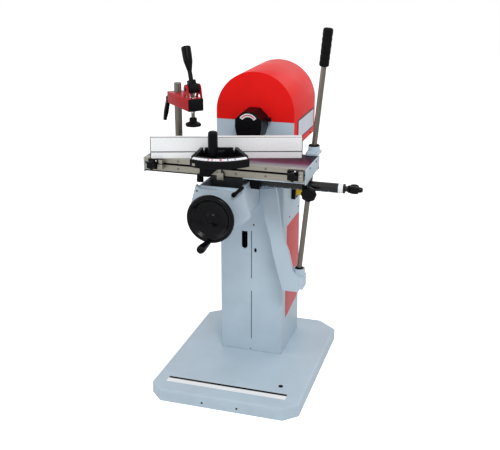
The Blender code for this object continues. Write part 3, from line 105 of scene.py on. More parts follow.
def rounded(points, radius, closed=True, steps=4):
    """Corners eased by a quadratic curve: each corner gives way to (1-t)^2 a + 2t(1-t) corner + t^2 b,
    where a and b lie on its two sides, at most the radius and under half a side away."""
    points = np.asarray(points, float)
    before, after = np.roll(points, 1, 0), np.roll(points, -1, 0)
    to_before, to_after = before - points, after - points
    length_a = np.maximum(np.linalg.norm(to_before, axis=1, keepdims=True), 1e-9)
    length_b = np.maximum(np.linalg.norm(to_after, axis=1, keepdims=True), 1e-9)
    reach = np.minimum(radius, 0.48 * np.minimum(length_a, length_b))
    if not closed:
        reach[[0, -1]] = 0
    start, end = points + to_before / length_a * reach, points + to_after / length_b * reach
    t = np.linspace(0, 1, steps + 1)[None, :, None]
    curve = (1 - t) ** 2 * start[:, None] + 2 * t * (1 - t) * points[:, None] + t ** 2 * end[:, None]
    eased = curve.reshape(-1, points.shape[1])
    apart = np.linalg.norm(np.diff(eased, axis=0, append=eased[:1]), axis=1) > 1e-7
    if not closed:
        apart[-1] = True
    return eased[apart]


def inset(outline, amount):
    """A closed outline drawn in by an amount: each corner moves along the mean normal of its two sides,
    divided by the cosine of half the turn, so that the sides stay parallel."""
    side = np.roll(outline, -1, 0) - outline
    side /= np.maximum(np.linalg.norm(side, axis=1, keepdims=True), 1e-9)
    area = np.sum(outline[:, 0] * np.roll(outline[:, 1], -1) - outline[:, 1] * np.roll(outline[:, 0], -1))
    inward = np.stack((-side[:, 1], side[:, 0]), 1) * np.sign(area)
    mean = inward + np.roll(inward, 1, 0)
    size = np.maximum(np.linalg.norm(mean, axis=1, keepdims=True), 0.4)
    mean /= size
    shrink = np.maximum(np.sum(mean * inward, 1, keepdims=True), 0.5)
    return outline + mean * amount / shrink


def axes_along(along):
    """Three unit axes as matrix columns: the third lies along a direction, the second as upright as it
    can."""
    z = np.asarray(along, float)
    z = z / np.linalg.norm(z)
    guide = np.array((0.0, 1.0, 0.0)) if abs(z[2]) > 0.9 else np.array((0.0, 0.0, 1.0))
    x = np.cross(guide, z)
    x /= np.linalg.norm(x)
    return np.stack((x, np.cross(z, x), z), 1)


def skin(grid, wrap=True, caps=True):
    """Points and faces of a grid: point (i, j) joins (i+1, j) and (i, j+1), and flat caps end it."""
    rows, columns = grid.shape[:2]
    index = np.arange(rows * columns).reshape(rows, columns)
    near = index if wrap else index[:, :-1]
    far = np.roll(index, -1, 1) if wrap else index[:, 1:]
    faces = np.stack((near[:-1], far[:-1], far[1:], near[1:]), -1).reshape(-1, 4).tolist()
    if caps:
        faces += [index[0][::-1].tolist(), index[-1].tolist()]
    return grid.reshape(-1, 3), faces


def slab(outline, low, high, edge=0.8 * MM, at=(0, 0, 0), axes=None, corner=0.0, steps=3):
    """Plate of an outline with quarter-round edges: ring k is inset by edge (1 - sin a) and lies at
    low + edge (1 - cos a), with a from 0 to a right angle, and the same mirrored at the top."""
    outline = np.asarray(outline, float)
    if corner:
        outline = rounded(outline, corner)
    a = np.linspace(0, np.pi / 2, steps + 1)
    draw = np.concatenate((edge * (1 - np.sin(a)), edge * (1 - np.sin(a[::-1]))))
    level = np.concatenate((low + edge * (1 - np.cos(a)), high - edge * (1 - np.cos(a[::-1]))))
    rings = [np.column_stack((inset(outline, d), np.full(len(outline), z))) for d, z in zip(draw, level)]
    axes = np.eye(3) if axes is None else axes
    return skin(np.stack(rings) @ axes.T + np.asarray(at, float))


FRONT_AXES = np.array(((1.0, 0, 0), (0, 0, -1.0), (0, 1.0, 0)))
SIDE_AXES = np.array(((0, 0, 1.0), (1.0, 0, 0), (0, 1.0, 0)))


def turned_axes(turn, base=None):
    """A base set of axes turned about the vertical."""
    c, s = np.cos(turn), np.sin(turn)
    spin = np.array(((c, -s, 0), (s, c, 0), (0, 0, 1.0)))
    return spin if base is None else spin @ base


MITRE_AXES = turned_axes(MITRE_TURN)


def box_outline(xs, ys):
    """The four corners of a rectangle."""
    return np.array(((xs[0], ys[0]), (xs[1], ys[0]), (xs[1], ys[1]), (xs[0], ys[1])), float)


def lathe(profile, at, along=UP, ease=1.0 * MM, steps=72, lobes=0, dip=0.0, from_radius=0.0):
    """Half profile (radius, height) carried round an axis: point = at + r (x cos u + y sin u) + h z.
    A lobed one swings its radius by dip (1 - cos(lobes u)) / 2, past the radius where the lobes begin."""
    profile = rounded(profile, ease, closed=False)
    u = np.linspace(0, TURN, steps, endpoint=False)
    radius = np.maximum(profile[:, :1], 1e-6) * np.ones((1, steps))
    if lobes:
        share = np.clip((radius - from_radius) / max(radius.max() - from_radius, 1e-6), 0, 1)
        radius = radius - share * dip * (1 - np.cos(lobes * u)) / 2
    height = profile[:, 1:] * np.ones((1, steps))
    grid = np.stack((radius * np.cos(u), radius * np.sin(u), height), -1)
    return skin(grid @ axes_along(along).T + np.asarray(at, float))


def pipe(path, radius, steps=16):
    """Round section carried along a path: point = p(s) + r (a cos u + b sin u), with a and b square to
    the path."""
    path = np.asarray(path, float)
    radius = np.broadcast_to(np.asarray(radius, float), (len(path),))
    tangent = np.gradient(path, axis=0)
    tangent /= np.linalg.norm(tangent, axis=1, keepdims=True)
    guide = np.array((0.0, 0.0, 1.0)) if abs(tangent[:, 2]).max() < 0.95 else np.array((1.0, 0.31, 0.0))
    a = np.cross(tangent, guide)
    a /= np.linalg.norm(a, axis=1, keepdims=True)
    b = np.cross(tangent, a)
    u = np.linspace(0, TURN, steps, endpoint=False)
    ring = a[:, None] * np.cos(u)[:, None] + b[:, None] * np.sin(u)[:, None]
    return skin(path[:, None] + ring * radius[:, None, None])


def arc_sweep(centre, section, start, end, axes, steps=40):
    """Closed section (radius, height) carried through an angle about a centre, and closed at both ends."""
    section = np.asarray(section, float)
    angle = np.linspace(start, end, steps)[:, None]
    radius, height = section[:, 0][None], section[:, 1][None] * np.ones_like(angle)
    grid = np.stack((radius * np.cos(angle), radius * np.sin(angle), height), -1)
    return skin(grid @ axes.T + np.asarray(centre, float))


def band(centre, inner, outer, start, end, low, high, axes, steps=40):
    """Flat arc: a rectangle (radius, height) carried through an angle about a centre."""
    return arc_sweep(centre, ((inner, low), (outer, low), (outer, high), (inner, high)), start, end, axes,
                     steps)


# Finishes


def add(tree, kind, settings=None, links=None):
    """One node, with settings put on it or its sockets, and links from other sockets into its own."""
    node = tree.nodes.new(kind)
    for key, value in (settings or {}).items():
        if isinstance(key, int) or key in node.inputs:
            node.inputs[key].default_value = value
        else:
            setattr(node, key, value)
    for key, source in (links or {}).items():
        tree.links.new(source, node.inputs[key])
    return node


def surface(name, **sockets):
    """A material with its Principled shader set, its node tree and a Texture Coordinate node."""
    made = bpy.data.materials.new(name)
    made.use_nodes = True
    tree = made.node_tree
    shader = tree.nodes["Principled BSDF"]
    for key, value in sockets.items():
        shader.inputs[key.replace("_", " ")].default_value = value
    return made, tree, shader, add(tree, "ShaderNodeTexCoord")


def shade(colour, factor):
    """A colour made lighter or darker by a factor."""
    return (*[min(1.0, channel * factor) for channel in colour[:3]], 1.0)


def two_tone(tree, shader, pattern, span, colour, tones):
    """Base colour that goes from a darker to a lighter tone of a colour as a pattern crosses a span."""
    share = add(tree, "ShaderNodeMapRange", {"From Min": span[0], "From Max": span[1]}, {"Value": pattern})
    blend = add(tree, "ShaderNodeMix", {"data_type": "RGBA", 6: shade(colour, tones[0]),
                                        7: shade(colour, tones[1])}, {0: share.outputs["Result"]})
    tree.links.new(blend.outputs[2], shader.inputs["Base Color"])


def powder_coat(name, colour, roughness=0.40, coat=0.0, grit=1.4 * MM, depth=0.18, gloss=0.5):
    """Baked powder coat on sheet steel: faint orange peel about a millimetre across, slow tone drift."""
    made, tree, shader, place = surface(name, Roughness=roughness, Coat_Weight=coat, Coat_Roughness=0.12,
                                        Specular_IOR_Level=gloss)
    drift = add(tree, "ShaderNodeTexNoise", {"Scale": 1 / (90 * MM), "Detail": 3.0},
                {"Vector": place.outputs["Object"]})
    two_tone(tree, shader, drift.outputs["Fac"], (0.30, 0.72), colour, (0.95, 1.04))
    peel = add(tree, "ShaderNodeTexNoise", {"Scale": 1 / (grit * 2), "Detail": 2.0},
               {"Vector": place.outputs["Object"]})
    scuff = add(tree, "ShaderNodeMapRange", {"From Min": 0.3, "From Max": 0.7, "To Min": roughness - 0.05,
                                             "To Max": roughness + 0.07}, {"Value": drift.outputs["Fac"]})
    tree.links.new(scuff.outputs["Result"], shader.inputs["Roughness"])
    bump = add(tree, "ShaderNodeBump", {"Strength": depth, "Distance": 0.12 * MM},
               {"Height": peel.outputs["Fac"]})
    tree.links.new(bump.outputs["Normal"], shader.inputs["Normal"])
    return made


def moulded(name, colour, roughness=0.42, grain=0.9 * MM, depth=0.25, gloss=0.5):
    """Moulded ABS: even colour and the tool's leathered grain, drawn about a millimetre coarse to show."""
    made, tree, shader, place = surface(name, Roughness=roughness, IOR=1.53, Specular_IOR_Level=gloss)
    cells = add(tree, "ShaderNodeTexVoronoi", {"Scale": 1 / grain}, {"Vector": place.outputs["Object"]})
    cloud = add(tree, "ShaderNodeTexNoise", {"Scale": 1 / (35 * MM), "Detail": 3.0},
                {"Vector": place.outputs["Object"]})
    two_tone(tree, shader, cloud.outputs["Fac"], (0.3, 0.75), colour, (0.85, 1.25))
    wear = add(tree, "ShaderNodeMapRange", {"From Min": 0.35, "From Max": 0.7, "To Min": roughness - 0.06,
                                            "To Max": roughness + 0.08}, {"Value": cloud.outputs["Fac"]})
    tree.links.new(wear.outputs["Result"], shader.inputs["Roughness"])
    bump = add(tree, "ShaderNodeBump", {"Strength": depth, "Distance": 0.08 * MM},
               {"Height": cells.outputs["Distance"]})
    tree.links.new(bump.outputs["Normal"], shader.inputs["Normal"])
    return made


def ground_metal(name, colour, roughness=0.28, stretch=(1, 40, 40), pitch=0.8 * MM, depth=0.15):
    """Ground or drawn metal: fine scratches along one direction, drawn coarser than real to show."""
    made, tree, shader, place = surface(name, Metallic=1.0, Roughness=roughness)
    size = tuple(value / max(stretch) / pitch / 2 for value in stretch)
    lay = add(tree, "ShaderNodeMapping", {"Scale": size}, {"Vector": place.outputs["Object"]})
    lines = add(tree, "ShaderNodeTexNoise", {"Scale": 1.0, "Detail": 4.0, "Roughness": 0.6},
                {"Vector": lay.outputs["Vector"]})
    two_tone(tree, shader, lines.outputs["Fac"], (0.3, 0.7), colour, (0.88, 1.08))
    rough = add(tree, "ShaderNodeMapRange", {"From Min": 0.3, "From Max": 0.7, "To Min": roughness * 0.75,
                                             "To Max": roughness * 1.3}, {"Value": lines.outputs["Fac"]})
    tree.links.new(rough.outputs["Result"], shader.inputs["Roughness"])
    bump = add(tree, "ShaderNodeBump", {"Strength": depth, "Distance": 0.05 * MM},
               {"Height": lines.outputs["Fac"]})
    tree.links.new(bump.outputs["Normal"], shader.inputs["Normal"])
    return made


def satin_aluminium(name, colour):
    """Satin anodised aluminium: etched nearly white, with the die's fine lines along it, little mirror."""
    made = ground_metal(name, colour, 0.50, (1, 40, 40), pitch=0.6 * MM, depth=0.06)
    made.node_tree.nodes["Principled BSDF"].inputs["Metallic"].default_value = 0.12
    return made


def painted_reflection_table(name):
    """Surface-ground table with a painted reflection: bare grey along the front, and behind it a violet-red
    gradient that stands in for the red cover's reflection in the table."""
    made = ground_metal(name, linear("b9bcc0"), 0.33, (1, 40, 40))
    tree = made.node_tree
    place = tree.nodes["Texture Coordinate"]
    split = add(tree, "ShaderNodeSeparateXYZ", links={"Vector": place.outputs["Object"]})
    wander = add(tree, "ShaderNodeTexNoise", {"Scale": 1 / (60 * MM), "Detail": 3.0},
                 {"Vector": place.outputs["Object"]})
    shift = add(tree, "ShaderNodeMath", {"operation": "MULTIPLY_ADD", 1: 0.016, 2: -0.008},
                {0: wander.outputs["Fac"]})
    depth = add(tree, "ShaderNodeMath", {"operation": "ADD"}, {0: split.outputs["Y"], 1: shift.outputs[0]})
    share = add(tree, "ShaderNodeMapRange", {"From Min": -0.216, "From Max": -0.10},
                {"Value": depth.outputs[0]})
    # Painted reflection: a ramp over depth, pale grey at the front edge through violet-red to dark
    # blue-grey at the back.
    painted_reflection = add(tree, "ShaderNodeValToRGB", links={"Fac": share.outputs["Result"]})
    stops = painted_reflection.color_ramp
    stops.elements[0].position, stops.elements[0].color = 0.0, linear("d2d0d0")
    stops.elements[1].position, stops.elements[1].color = 1.0, linear("3c4456")
    for position, code in ((0.14, "c0a8b4"), (0.30, "9c5a78"), (0.52, "7e2a4e"), (0.75, "56263f")):
        stops.elements.new(position).color = linear(code)
    shader = tree.nodes["Principled BSDF"]
    shader.inputs["Metallic"].default_value = 0.55
    shader.inputs["Specular IOR Level"].default_value = 0.12
    # Pink highlight tint, part of the same painted reflection.
    shader.inputs["Specular Tint"].default_value = linear("c489a0")
    lines = shader.inputs["Base Color"].links[0].from_socket
    mix = add(tree, "ShaderNodeMix", {"data_type": "RGBA", "blend_type": "MULTIPLY", 0: 1.0},
              {6: painted_reflection.outputs["Color"], 7: lines})
    tree.links.new(mix.outputs[2], shader.inputs["Base Color"])
    return made


def rubber(name, colour):
    """Moulded rubber: matt and dark, with a pebbled skin under a millimetre across."""
    return moulded(name, colour, roughness=0.55, grain=1.1 * MM, depth=0.5, gloss=0.08)


def printed(name, colour):
    """Screen-printed vinyl: thin, even and slightly glossy, with the faint cloud of a film over paint."""
    return powder_coat(name, colour, roughness=0.34, coat=0.2, grit=0.8 * MM, depth=0.05)


FINISHES = {}


def make_finishes(paints):
    """Every finish of the machine, keyed by a plain name."""
    FINISHES.update({"grey": powder_coat("powder_coat_blue_grey", paints.body, gloss=0.35),
                     "red": powder_coat("powder_coat_hood_red", paints.hood, roughness=0.36, gloss=0.06),
                     "arm_red": powder_coat("enamel_clamp_red", paints.clamp, roughness=0.30, gloss=0.08),
                     "inner_grey": powder_coat("cast_iron_grey_enamel", linear("3c4247"), roughness=0.5,
                                               depth=0.4, grit=2.2 * MM),
                     "black_paint": powder_coat("satin_black_enamel", linear("0a0a0d"), roughness=0.42,
                                                gloss=0.10), "black": moulded("abs_black_moulded",
                                                                              linear("08080b"),
                                                                              roughness=0.34, gloss=0.09),
                     "gloss_black": moulded("phenolic_black_polished", linear("07070a"), roughness=0.18,
                                            depth=0.06, gloss=0.12),
                     "bar_black": moulded("polished_black_bar", linear("08080b"), roughness=0.24,
                                          depth=0.03, gloss=0.4), "rubber": rubber("rubber_grip_black",
                                                                                   linear("0a0a0c")),
                     "steel": ground_metal("ground_steel_bar", linear("77726a"), 0.30, (40, 40, 1)),
                     "table": painted_reflection_table("ground_table_painted_reflection"), "rail": ground_metal("ground_steel_rail",
                                                                                      linear("a5a196"),
                                                                                      0.38, (1, 40, 40)),
                     "aluminium": satin_aluminium("anodised_aluminium_satin", linear("f6faff")),
                     "bolt": ground_metal("zinc_plated_bolt", linear("d2d3d2"), 0.24, (8, 8, 8),
                                          pitch=1.5 * MM), "dark_bolt": ground_metal("black_oxide_bolt",
                                                                                     linear("24252b"),
                                                                                     0.36, (8, 8, 8),
                                                                                     pitch=1.5 * MM),
                     # Flat black for thin gaps, and painted shade inside slots and holes.
                     "shadow": moulded("gap_and_painted_shade_black", linear("08080a"), roughness=0.7, depth=0.05,
                                       gloss=0.1), "white": printed("vinyl_white", linear("eef0f2")),
                     "label": printed("vinyl_label_pale", linear("ccd2e0")),
                     "decal_red": powder_coat("vinyl_red", linear("cc4a4c"), roughness=0.4, grit=0.8 * MM,
                                              depth=0.05, gloss=0.2),
                     "mark_red": printed("vinyl_mark_red", linear("c8486a")),
                     "mark_faint": printed("vinyl_mark_lavender", linear("b4b0d4")),
                     "mark_blue": printed("vinyl_mark_blue", linear("7a78b8")),
                     "yellow": moulded("abs_yellow_moulded", linear("dcb321"), roughness=0.32, depth=0.1),
                     "green": moulded("abs_green_moulded", linear("1f9a4b"), roughness=0.28, depth=0.1),
                     "button_red": moulded("abs_red_moulded", linear("c8231f"), roughness=0.28,
                                           depth=0.1),})


def finish_node(name, finish):
    """Give a CAD node that stays its finish."""
    materials = NODES[name].data.materials
    materials.clear()
    materials.append(FINISHES[finish])


def piece(name, parts, body, finish, slot, stands_for=(), sharp=32):
    """One object from several skins: joined, doubles merged, normals outward, shaded smooth to an angle."""
    parts = parts if isinstance(parts, list) else [parts]
    offsets = np.cumsum([0] + [len(points) for points, _ in parts])
    points = np.concatenate([points for points, _ in parts])
    faces = [[corner + offset for corner in face] for (_, group), offset in zip(parts, offsets)
             for face in group]
    mesh = bpy.data.meshes.new(name)
    mesh.from_pydata(points.tolist(), [], faces)
    shell = bmesh.new()
    shell.from_mesh(mesh)
    bmesh.ops.remove_doubles(shell, verts=shell.verts, dist=2e-6)
    bmesh.ops.recalc_face_normals(shell, faces=shell.faces)
    shell.to_mesh(mesh)
    shell.free()
    return place(name, mesh, body, finish, slot, stands_for, sharp)


def place(name, mesh, body, finish, slot, stands_for=(), sharp=32):
    """Link a mesh as a piece that rides on a body and stands for CAD nodes."""
    mesh.polygons.foreach_set("use_smooth", np.ones(len(mesh.polygons), bool))
    mesh.set_sharp_from_angle(angle=np.radians(sharp))
    mesh.materials.append(FINISHES[finish])
    obj = bpy.data.objects.new(name, mesh)
    bpy.context.scene.collection.objects.link(obj)
    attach(obj, body)
    if stands_for:
        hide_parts(*stands_for)
    return obj


def softened(node, finish, slot, width=1.0 * MM, segments=2, angle=35):
    """A copy of a CAD node whose triangles are merged into whole faces and whose hard edges are eased."""
    source = NODES[node]
    mesh = source.data.copy()
    mesh.name = node + "_eased"
    mesh.materials.clear()
    shell = bmesh.new()
    shell.from_mesh(mesh)
    bmesh.ops.remove_doubles(shell, verts=shell.verts, dist=1e-6)
    bmesh.ops.dissolve_limit(shell, angle_limit=np.radians(1), verts=shell.verts, edges=shell.edges)
    shell.to_mesh(mesh)
    shell.free()
    obj = place(node + "_eased", mesh, source["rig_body"], finish, slot, (node,), angle)
    ease = obj.modifiers.new("soft edges", "BEVEL")
    ease.width = width
    ease.segments = segments
    ease.limit_method = "ANGLE"
    ease.angle_limit = np.radians(angle)
    ease.use_clamp_overlap = True
    ease.harden_normals = False
    return obj


# Small fittings


def socket_head(at, along, radius, height=None):
    """Cap screw: a short drum with an eased rim and a round well, walked round as one profile."""
    height = radius if height is None else height
    well = radius * 0.5
    return lathe(((0, height * 0.35), (well, height * 0.35), (well, height), (radius, height),
                  (radius, 0), (0, 0)), at, along, ease=radius * 0.12, steps=24)


def dome_head(at, along, radius, height=None):
    """Low domed screw head with a slot-free crown."""
    height = radius * 0.55 if height is None else height
    t = np.linspace(0, np.pi / 2, 7)
    profile = [(0.0, 0.0), (radius, 0.0)] + [(radius * np.cos(a), height * np.sin(a)) for a in t[1:]]
    return lathe(profile, at, along, ease=0.05 * MM, steps=24)


def hole_disc(at, along, radius, proud=0.15 * MM):
    """Dark countersink seen as a shallow dish: radius falls towards its middle."""
    return lathe(((0, proud * 0.2), (radius * 0.7, proud * 0.3), (radius, proud), (radius, -proud),
                  (0, -proud)), at, along, ease=0.02 * MM, steps=24)


def star_skins(at, along, radius, dip, low, high, neck):
    """Lobed hand knob: a crowned, five-lobed body on a round neck."""
    deep = high - low
    body = ((0.0, low), (radius * 0.55, low), (radius * 0.93, low + deep * 0.12),
            (radius, low + deep * 0.38), (radius, low + deep * 0.66), (radius * 0.9, low + deep * 0.88),
            (radius * 0.55, high), (0.0, high))
    stem = ((0.0, 0.0), (neck, 0.0), (neck * 1.15, low + 0.5 * MM), (0.0, low + 0.6 * MM))
    return [lathe(body, at, along, 2 * MM, 90, 5, dip, radius * 0.5), lathe(stem, at, along, 0.4 * MM, 36)]


def along_arm(out, side, height):
    """A point given along the clamp arm, across it and upward."""
    c, s = np.cos(ARM_TURN), np.sin(ARM_TURN)
    return POST_FOOT + (out * c - side * s, out * s + side * c, height)


def by_mitre(x, y, z):
    """A point given in the turned frame of the mitre head, from its pivot."""
    c, s = np.cos(MITRE_TURN), np.sin(MITRE_TURN)
    return PIVOT_FOOT + (x * c - y * s, x * s + y * c, z)


# Properties


class MortiserPaints(bpy.types.PropertyGroup):
    """Colours that a user would change."""

    body: FloatVectorProperty(name="Body paint",
                              description="Powder coat of base, column, knee and lever arm",
                              subtype="COLOR", size=4, min=0, max=1, default=linear("b6c7d4"))
    hood: FloatVectorProperty(name="Hood paint", description="Powder coat of the motor cover",
                              subtype="COLOR", size=4, min=0, max=1, default=linear("ea1d1a"))
    clamp: FloatVectorProperty(name="Clamp paint", description="Enamel of the clamp arm", subtype="COLOR",
                               size=4, min=0, max=1, default=linear("b21c24"))


class MortiserStudio(bpy.types.PropertyGroup):
    """Sizes and light levels of the studio."""

    floor_half: FloatProperty(name="Floor half width", description="Half the width of the pale floor",
                              default=9.0, min=2.0, unit="LENGTH")
    key_power: FloatProperty(name="Key lamp", description="Power of the large soft lamp in front",
                             default=62.0, min=0.0, unit="POWER")
    fill_power: FloatProperty(name="Fill lamp", description="Power of the soft lamp on the left",
                              default=16.0, min=0.0, unit="POWER")
    soft_edge: FloatProperty(name="Edge easing",
                             description="Width of the eased edges of cast and sheet pieces",
                             default=1.0 * MM, min=0.0, unit="LENGTH")


class MORTISER_OT_studio(bpy.types.Operator):
    """Pale floor, plain light and the camera at the photograph's angle."""

    bl_idname = "mortiser.studio"
    bl_label = "Studio"

    def execute(self, context):
        """Set the camera, the lamps, the world and the floor."""
        scene = context.scene
        studio = scene.mortiser_studio
        scene.view_settings.view_transform = "Standard"
        aim = Vector((0, 0, 0.7))
        lens = bpy.data.cameras.new("view")
        lens.lens, lens.sensor_width = 59.61, 36.0
        lens.shift_x, lens.shift_y = 0.00355, -0.00058
        camera = bpy.data.objects.new("view", lens)
        camera.matrix_world = Matrix(((0.95540, -0.09882, 0.27828, 0.8283),
                                      (0.29530, 0.31662, -0.90141, -2.7056),
                                      (0.00097, 0.94339, 0.33168, 1.5584), (0, 0, 0, 1)))
        scene.collection.objects.link(camera)
        scene.camera = camera
        for name, power, size, at in (("key", studio.key_power, 1.1, (1.3, -2.6, 3.6)),
                                      ("fill", studio.fill_power, 2.4, (-3.0, -1.6, 1.9)),
                                      ("rim", studio.fill_power, 2.0, (1.2, 3.0, 2.8))):
            lamp = bpy.data.lights.new(name, "AREA")
            lamp.energy, lamp.size = power, size
            holder = bpy.data.objects.new(name, lamp)
            holder.location = at
            holder.rotation_euler = (aim - Vector(at)).to_track_quat("-Z", "Y").to_euler()
            scene.collection.objects.link(holder)
        world = bpy.data.worlds.new("pale room")
        scene.world = world
        world.use_nodes = True
        tree = world.node_tree
        sky = tree.nodes["Background"]
        sky.inputs["Color"].default_value = (1, 1, 1, 1)
        ray = add(tree, "ShaderNodeLightPath")
        seen = add(tree, "ShaderNodeMath", {"operation": "ADD"}, {0: ray.outputs["Is Camera Ray"],
                                                                  1: ray.outputs["Is Transmission Ray"]})
        white = add(tree, "ShaderNodeMath", {"operation": "ADD", "use_clamp": True},
                    {0: seen.outputs[0], 1: ray.outputs["Is Glossy Ray"]})
        level = add(tree, "ShaderNodeMapRange", {"To Min": 0.62, "To Max": 1.0},
                    {"Value": white.outputs[0]})
        tree.links.new(level.outputs["Result"], sky.inputs["Strength"])
        half = studio.floor_half
        mesh = bpy.data.meshes.new("floor")
        mesh.from_pydata([(-half, -half, 0), (half, -half, 0), (half, half, 0), (-half, half, 0)], [],
                         [(0, 1, 2, 3)])
        mesh.materials.append(self.floor_finish())
        floor = bpy.data.objects.new("floor", mesh)
        scene.collection.objects.link(floor)
        return {"FINISHED"}

    @staticmethod
    def floor_finish():
        """White seamless floor that keeps the object's shadow and fades to pure white for the camera."""
        made, tree, shader, _ = surface("seamless_white_paper", Roughness=0.9)
        shader.inputs["Base Color"].default_value = linear("eff0f1")
        ray = add(tree, "ShaderNodeLightPath")
        glow = add(tree, "ShaderNodeMath", {"operation": "MULTIPLY", 1: 0.60},
                   {0: ray.outputs["Is Camera Ray"]})
        shader.inputs["Emission Color"].default_value = (1, 1, 1, 1)
        tree.links.new(glow.outputs[0], shader.inputs["Emission Strength"])
        return made


class MORTISER_OT_finishes(bpy.types.Operator):
    """Every paint, plastic and metal of the machine."""

    bl_idname = "mortiser.finishes"
    bl_label = "Finishes"

    def execute(self, context):
        """Make the finishes and give each inner node that stays its own."""
        make_finishes(context.scene.mortiser_paints)
        for node, finish in (("guide_bar_left", "steel"), ("guide_bar_right", "steel"),
                             ("lift_nut", "dark_bolt"), ("motor", "inner_grey"), ("motor_cradle", "grey"),
                             ("spindle", "steel"), ("base_stiffener", "grey"),
                             ("lift_carriage", "inner_grey"), ("wheel_shaft", "steel"),
                             ("lift_screw", "steel"), ("cross_bar_left", "steel"),
                             ("cross_bar_right", "steel"), ("swivel_ring", "dark_bolt")):
            finish_node(node, finish)
        return {"FINISHED"}


class MORTISER_OT_base(bpy.types.Operator):
    """Base tray with its pressed edges, the strip on its front, its plug and painted shade in the skirt's
    holes.
    """

    bl_idname = "mortiser.base"
    bl_label = "Base"

    def execute(self, context):
        """Ease the tray's corners, lay the strip, set the plug, cover three anchor holes and paint shade
        into the skirt's holes.
        """
        top, skirt, hole_height = 0.0480, 0.3500, 0.017
        anchor_x, anchor_y = 0.180, 0.213
        softened("base_tray", "grey", "pale_paint", 2.5 * MM, 3, 25)
        ground = slab(box_outline((-0.2220, 0.2170), (-0.2960, -0.2595)), top - 0.1 * MM, top + 0.3 * MM,
                      0.1 * MM, corner=2 * MM)
        piece("base_strip_ground", ground, "frame", "white", "pale_paint")
        bar = slab(box_outline((-0.2215, 0.2165), (-0.2725, -0.2610)), top + 0.2 * MM, top + 0.7 * MM,
                   0.2 * MM, corner=0.5 * MM)
        piece("base_strip", bar, "frame", "black_paint", "black_paint")
        plug = ((0.0, -0.0002), (0.0085, -0.0002), (0.0085, 0.0010), (0.0070, 0.0022), (0.0, 0.0024))
        piece("anchor_plug", lathe(plug, (anchor_x, -anchor_y, top), UP, 0.8 * MM, 36), "frame", "black",
              "black_plastic")
        cover = ((0.0, -0.0003), (0.0080, -0.0003), (0.0080, 0.0002), (0.0, 0.0002))
        covers = [lathe(cover, (x, y, top), UP, 0.1 * MM, 36)
                  for x, y in ((-anchor_x, -anchor_y), (-anchor_x, anchor_y), (anchor_x, anchor_y))]
        piece("anchor_covers", covers, "frame", "grey", "pale_paint")
        # Painted shade: black discs set in the skirt's two holes.
        floor = ((0, -0.0002), (0.0046, -0.0002), (0.0046, 0.0022), (0, 0.0024))
        holes = [lathe(floor, (x, -skirt, hole_height), FRONT, 0.1 * MM, 24) for x in (-0.067, 0.060)]
        piece("skirt_hole_painted_shade", holes, "frame", "shadow", "black_paint")
        return {"FINISHED"}


class MORTISER_OT_column(bpy.types.Operator):
    """Column with its slits, its side panel and screws."""

    bl_idname = "mortiser.column"
    bl_label = "Column"

    def execute(self, context):
        """Ease the column, then add the slits and the panel."""
        front, side, screw_row = 0.0157, 0.1200, 0.572
        softened("column", "grey", "pale_paint", 0.6 * MM, 2, 40)
        slits = [slab(box_outline((-0.0002, 0.0022), span), -front - 0.1 * MM, -front + 0.3 * MM, 0.05 * MM,
                      axes=FRONT_AXES) for span in ((0.098, 0.296), (0.347, 0.535))]
        piece("column_slits", slits, "frame", "shadow", "black_paint")
        dots = [dome_head((x, front, z), FRONT, radius)
                for x, z, radius in ((0.009, 0.558, 3.2 * MM), (-0.002, 0.054, 2.2 * MM))]
        piece("column_dots", dots, "frame", "dark_bolt", "black_paint")
        panel = ((0.0695, 0.5463), (0.2495, 0.5475), (0.2600, 0.3154), (0.2440, 0.1975), (0.0664, 0.1785),
                 (0.0600, 0.2400), (0.0640, 0.3400))
        sheet = slab(panel, side, side + 0.4 * MM, 0.1 * MM, axes=SIDE_AXES, corner=2 * MM)
        piece("side_panel", sheet, "frame", "decal_red", "hood_red")
        screws = [dome_head((side, y, screw_row), RIGHT, 3.6 * MM) for y in (0.106, 0.239)]
        piece("column_screws", screws, "frame", "dark_bolt", "black_paint")
        return {"FINISHED"}


def arch(half, spring, low, steps=72):
    """Arch outline: a half circle over straight sides, anticlockwise from the right foot."""
    a = np.linspace(0, np.pi, steps)
    crown = np.stack((half * np.cos(a), spring + half * np.sin(a)), 1)
    return np.concatenate((((half, low),), crown, ((-half, low),)))


def port(start, end):
    """Part of the round port about the spindle: x = r cos a, z = spindle + r sin a."""
    a = np.linspace(start, end, 24)
    return np.stack((PORT_RADIUS * np.cos(a), SPINDLE_Z + PORT_RADIUS * np.sin(a)), 1)


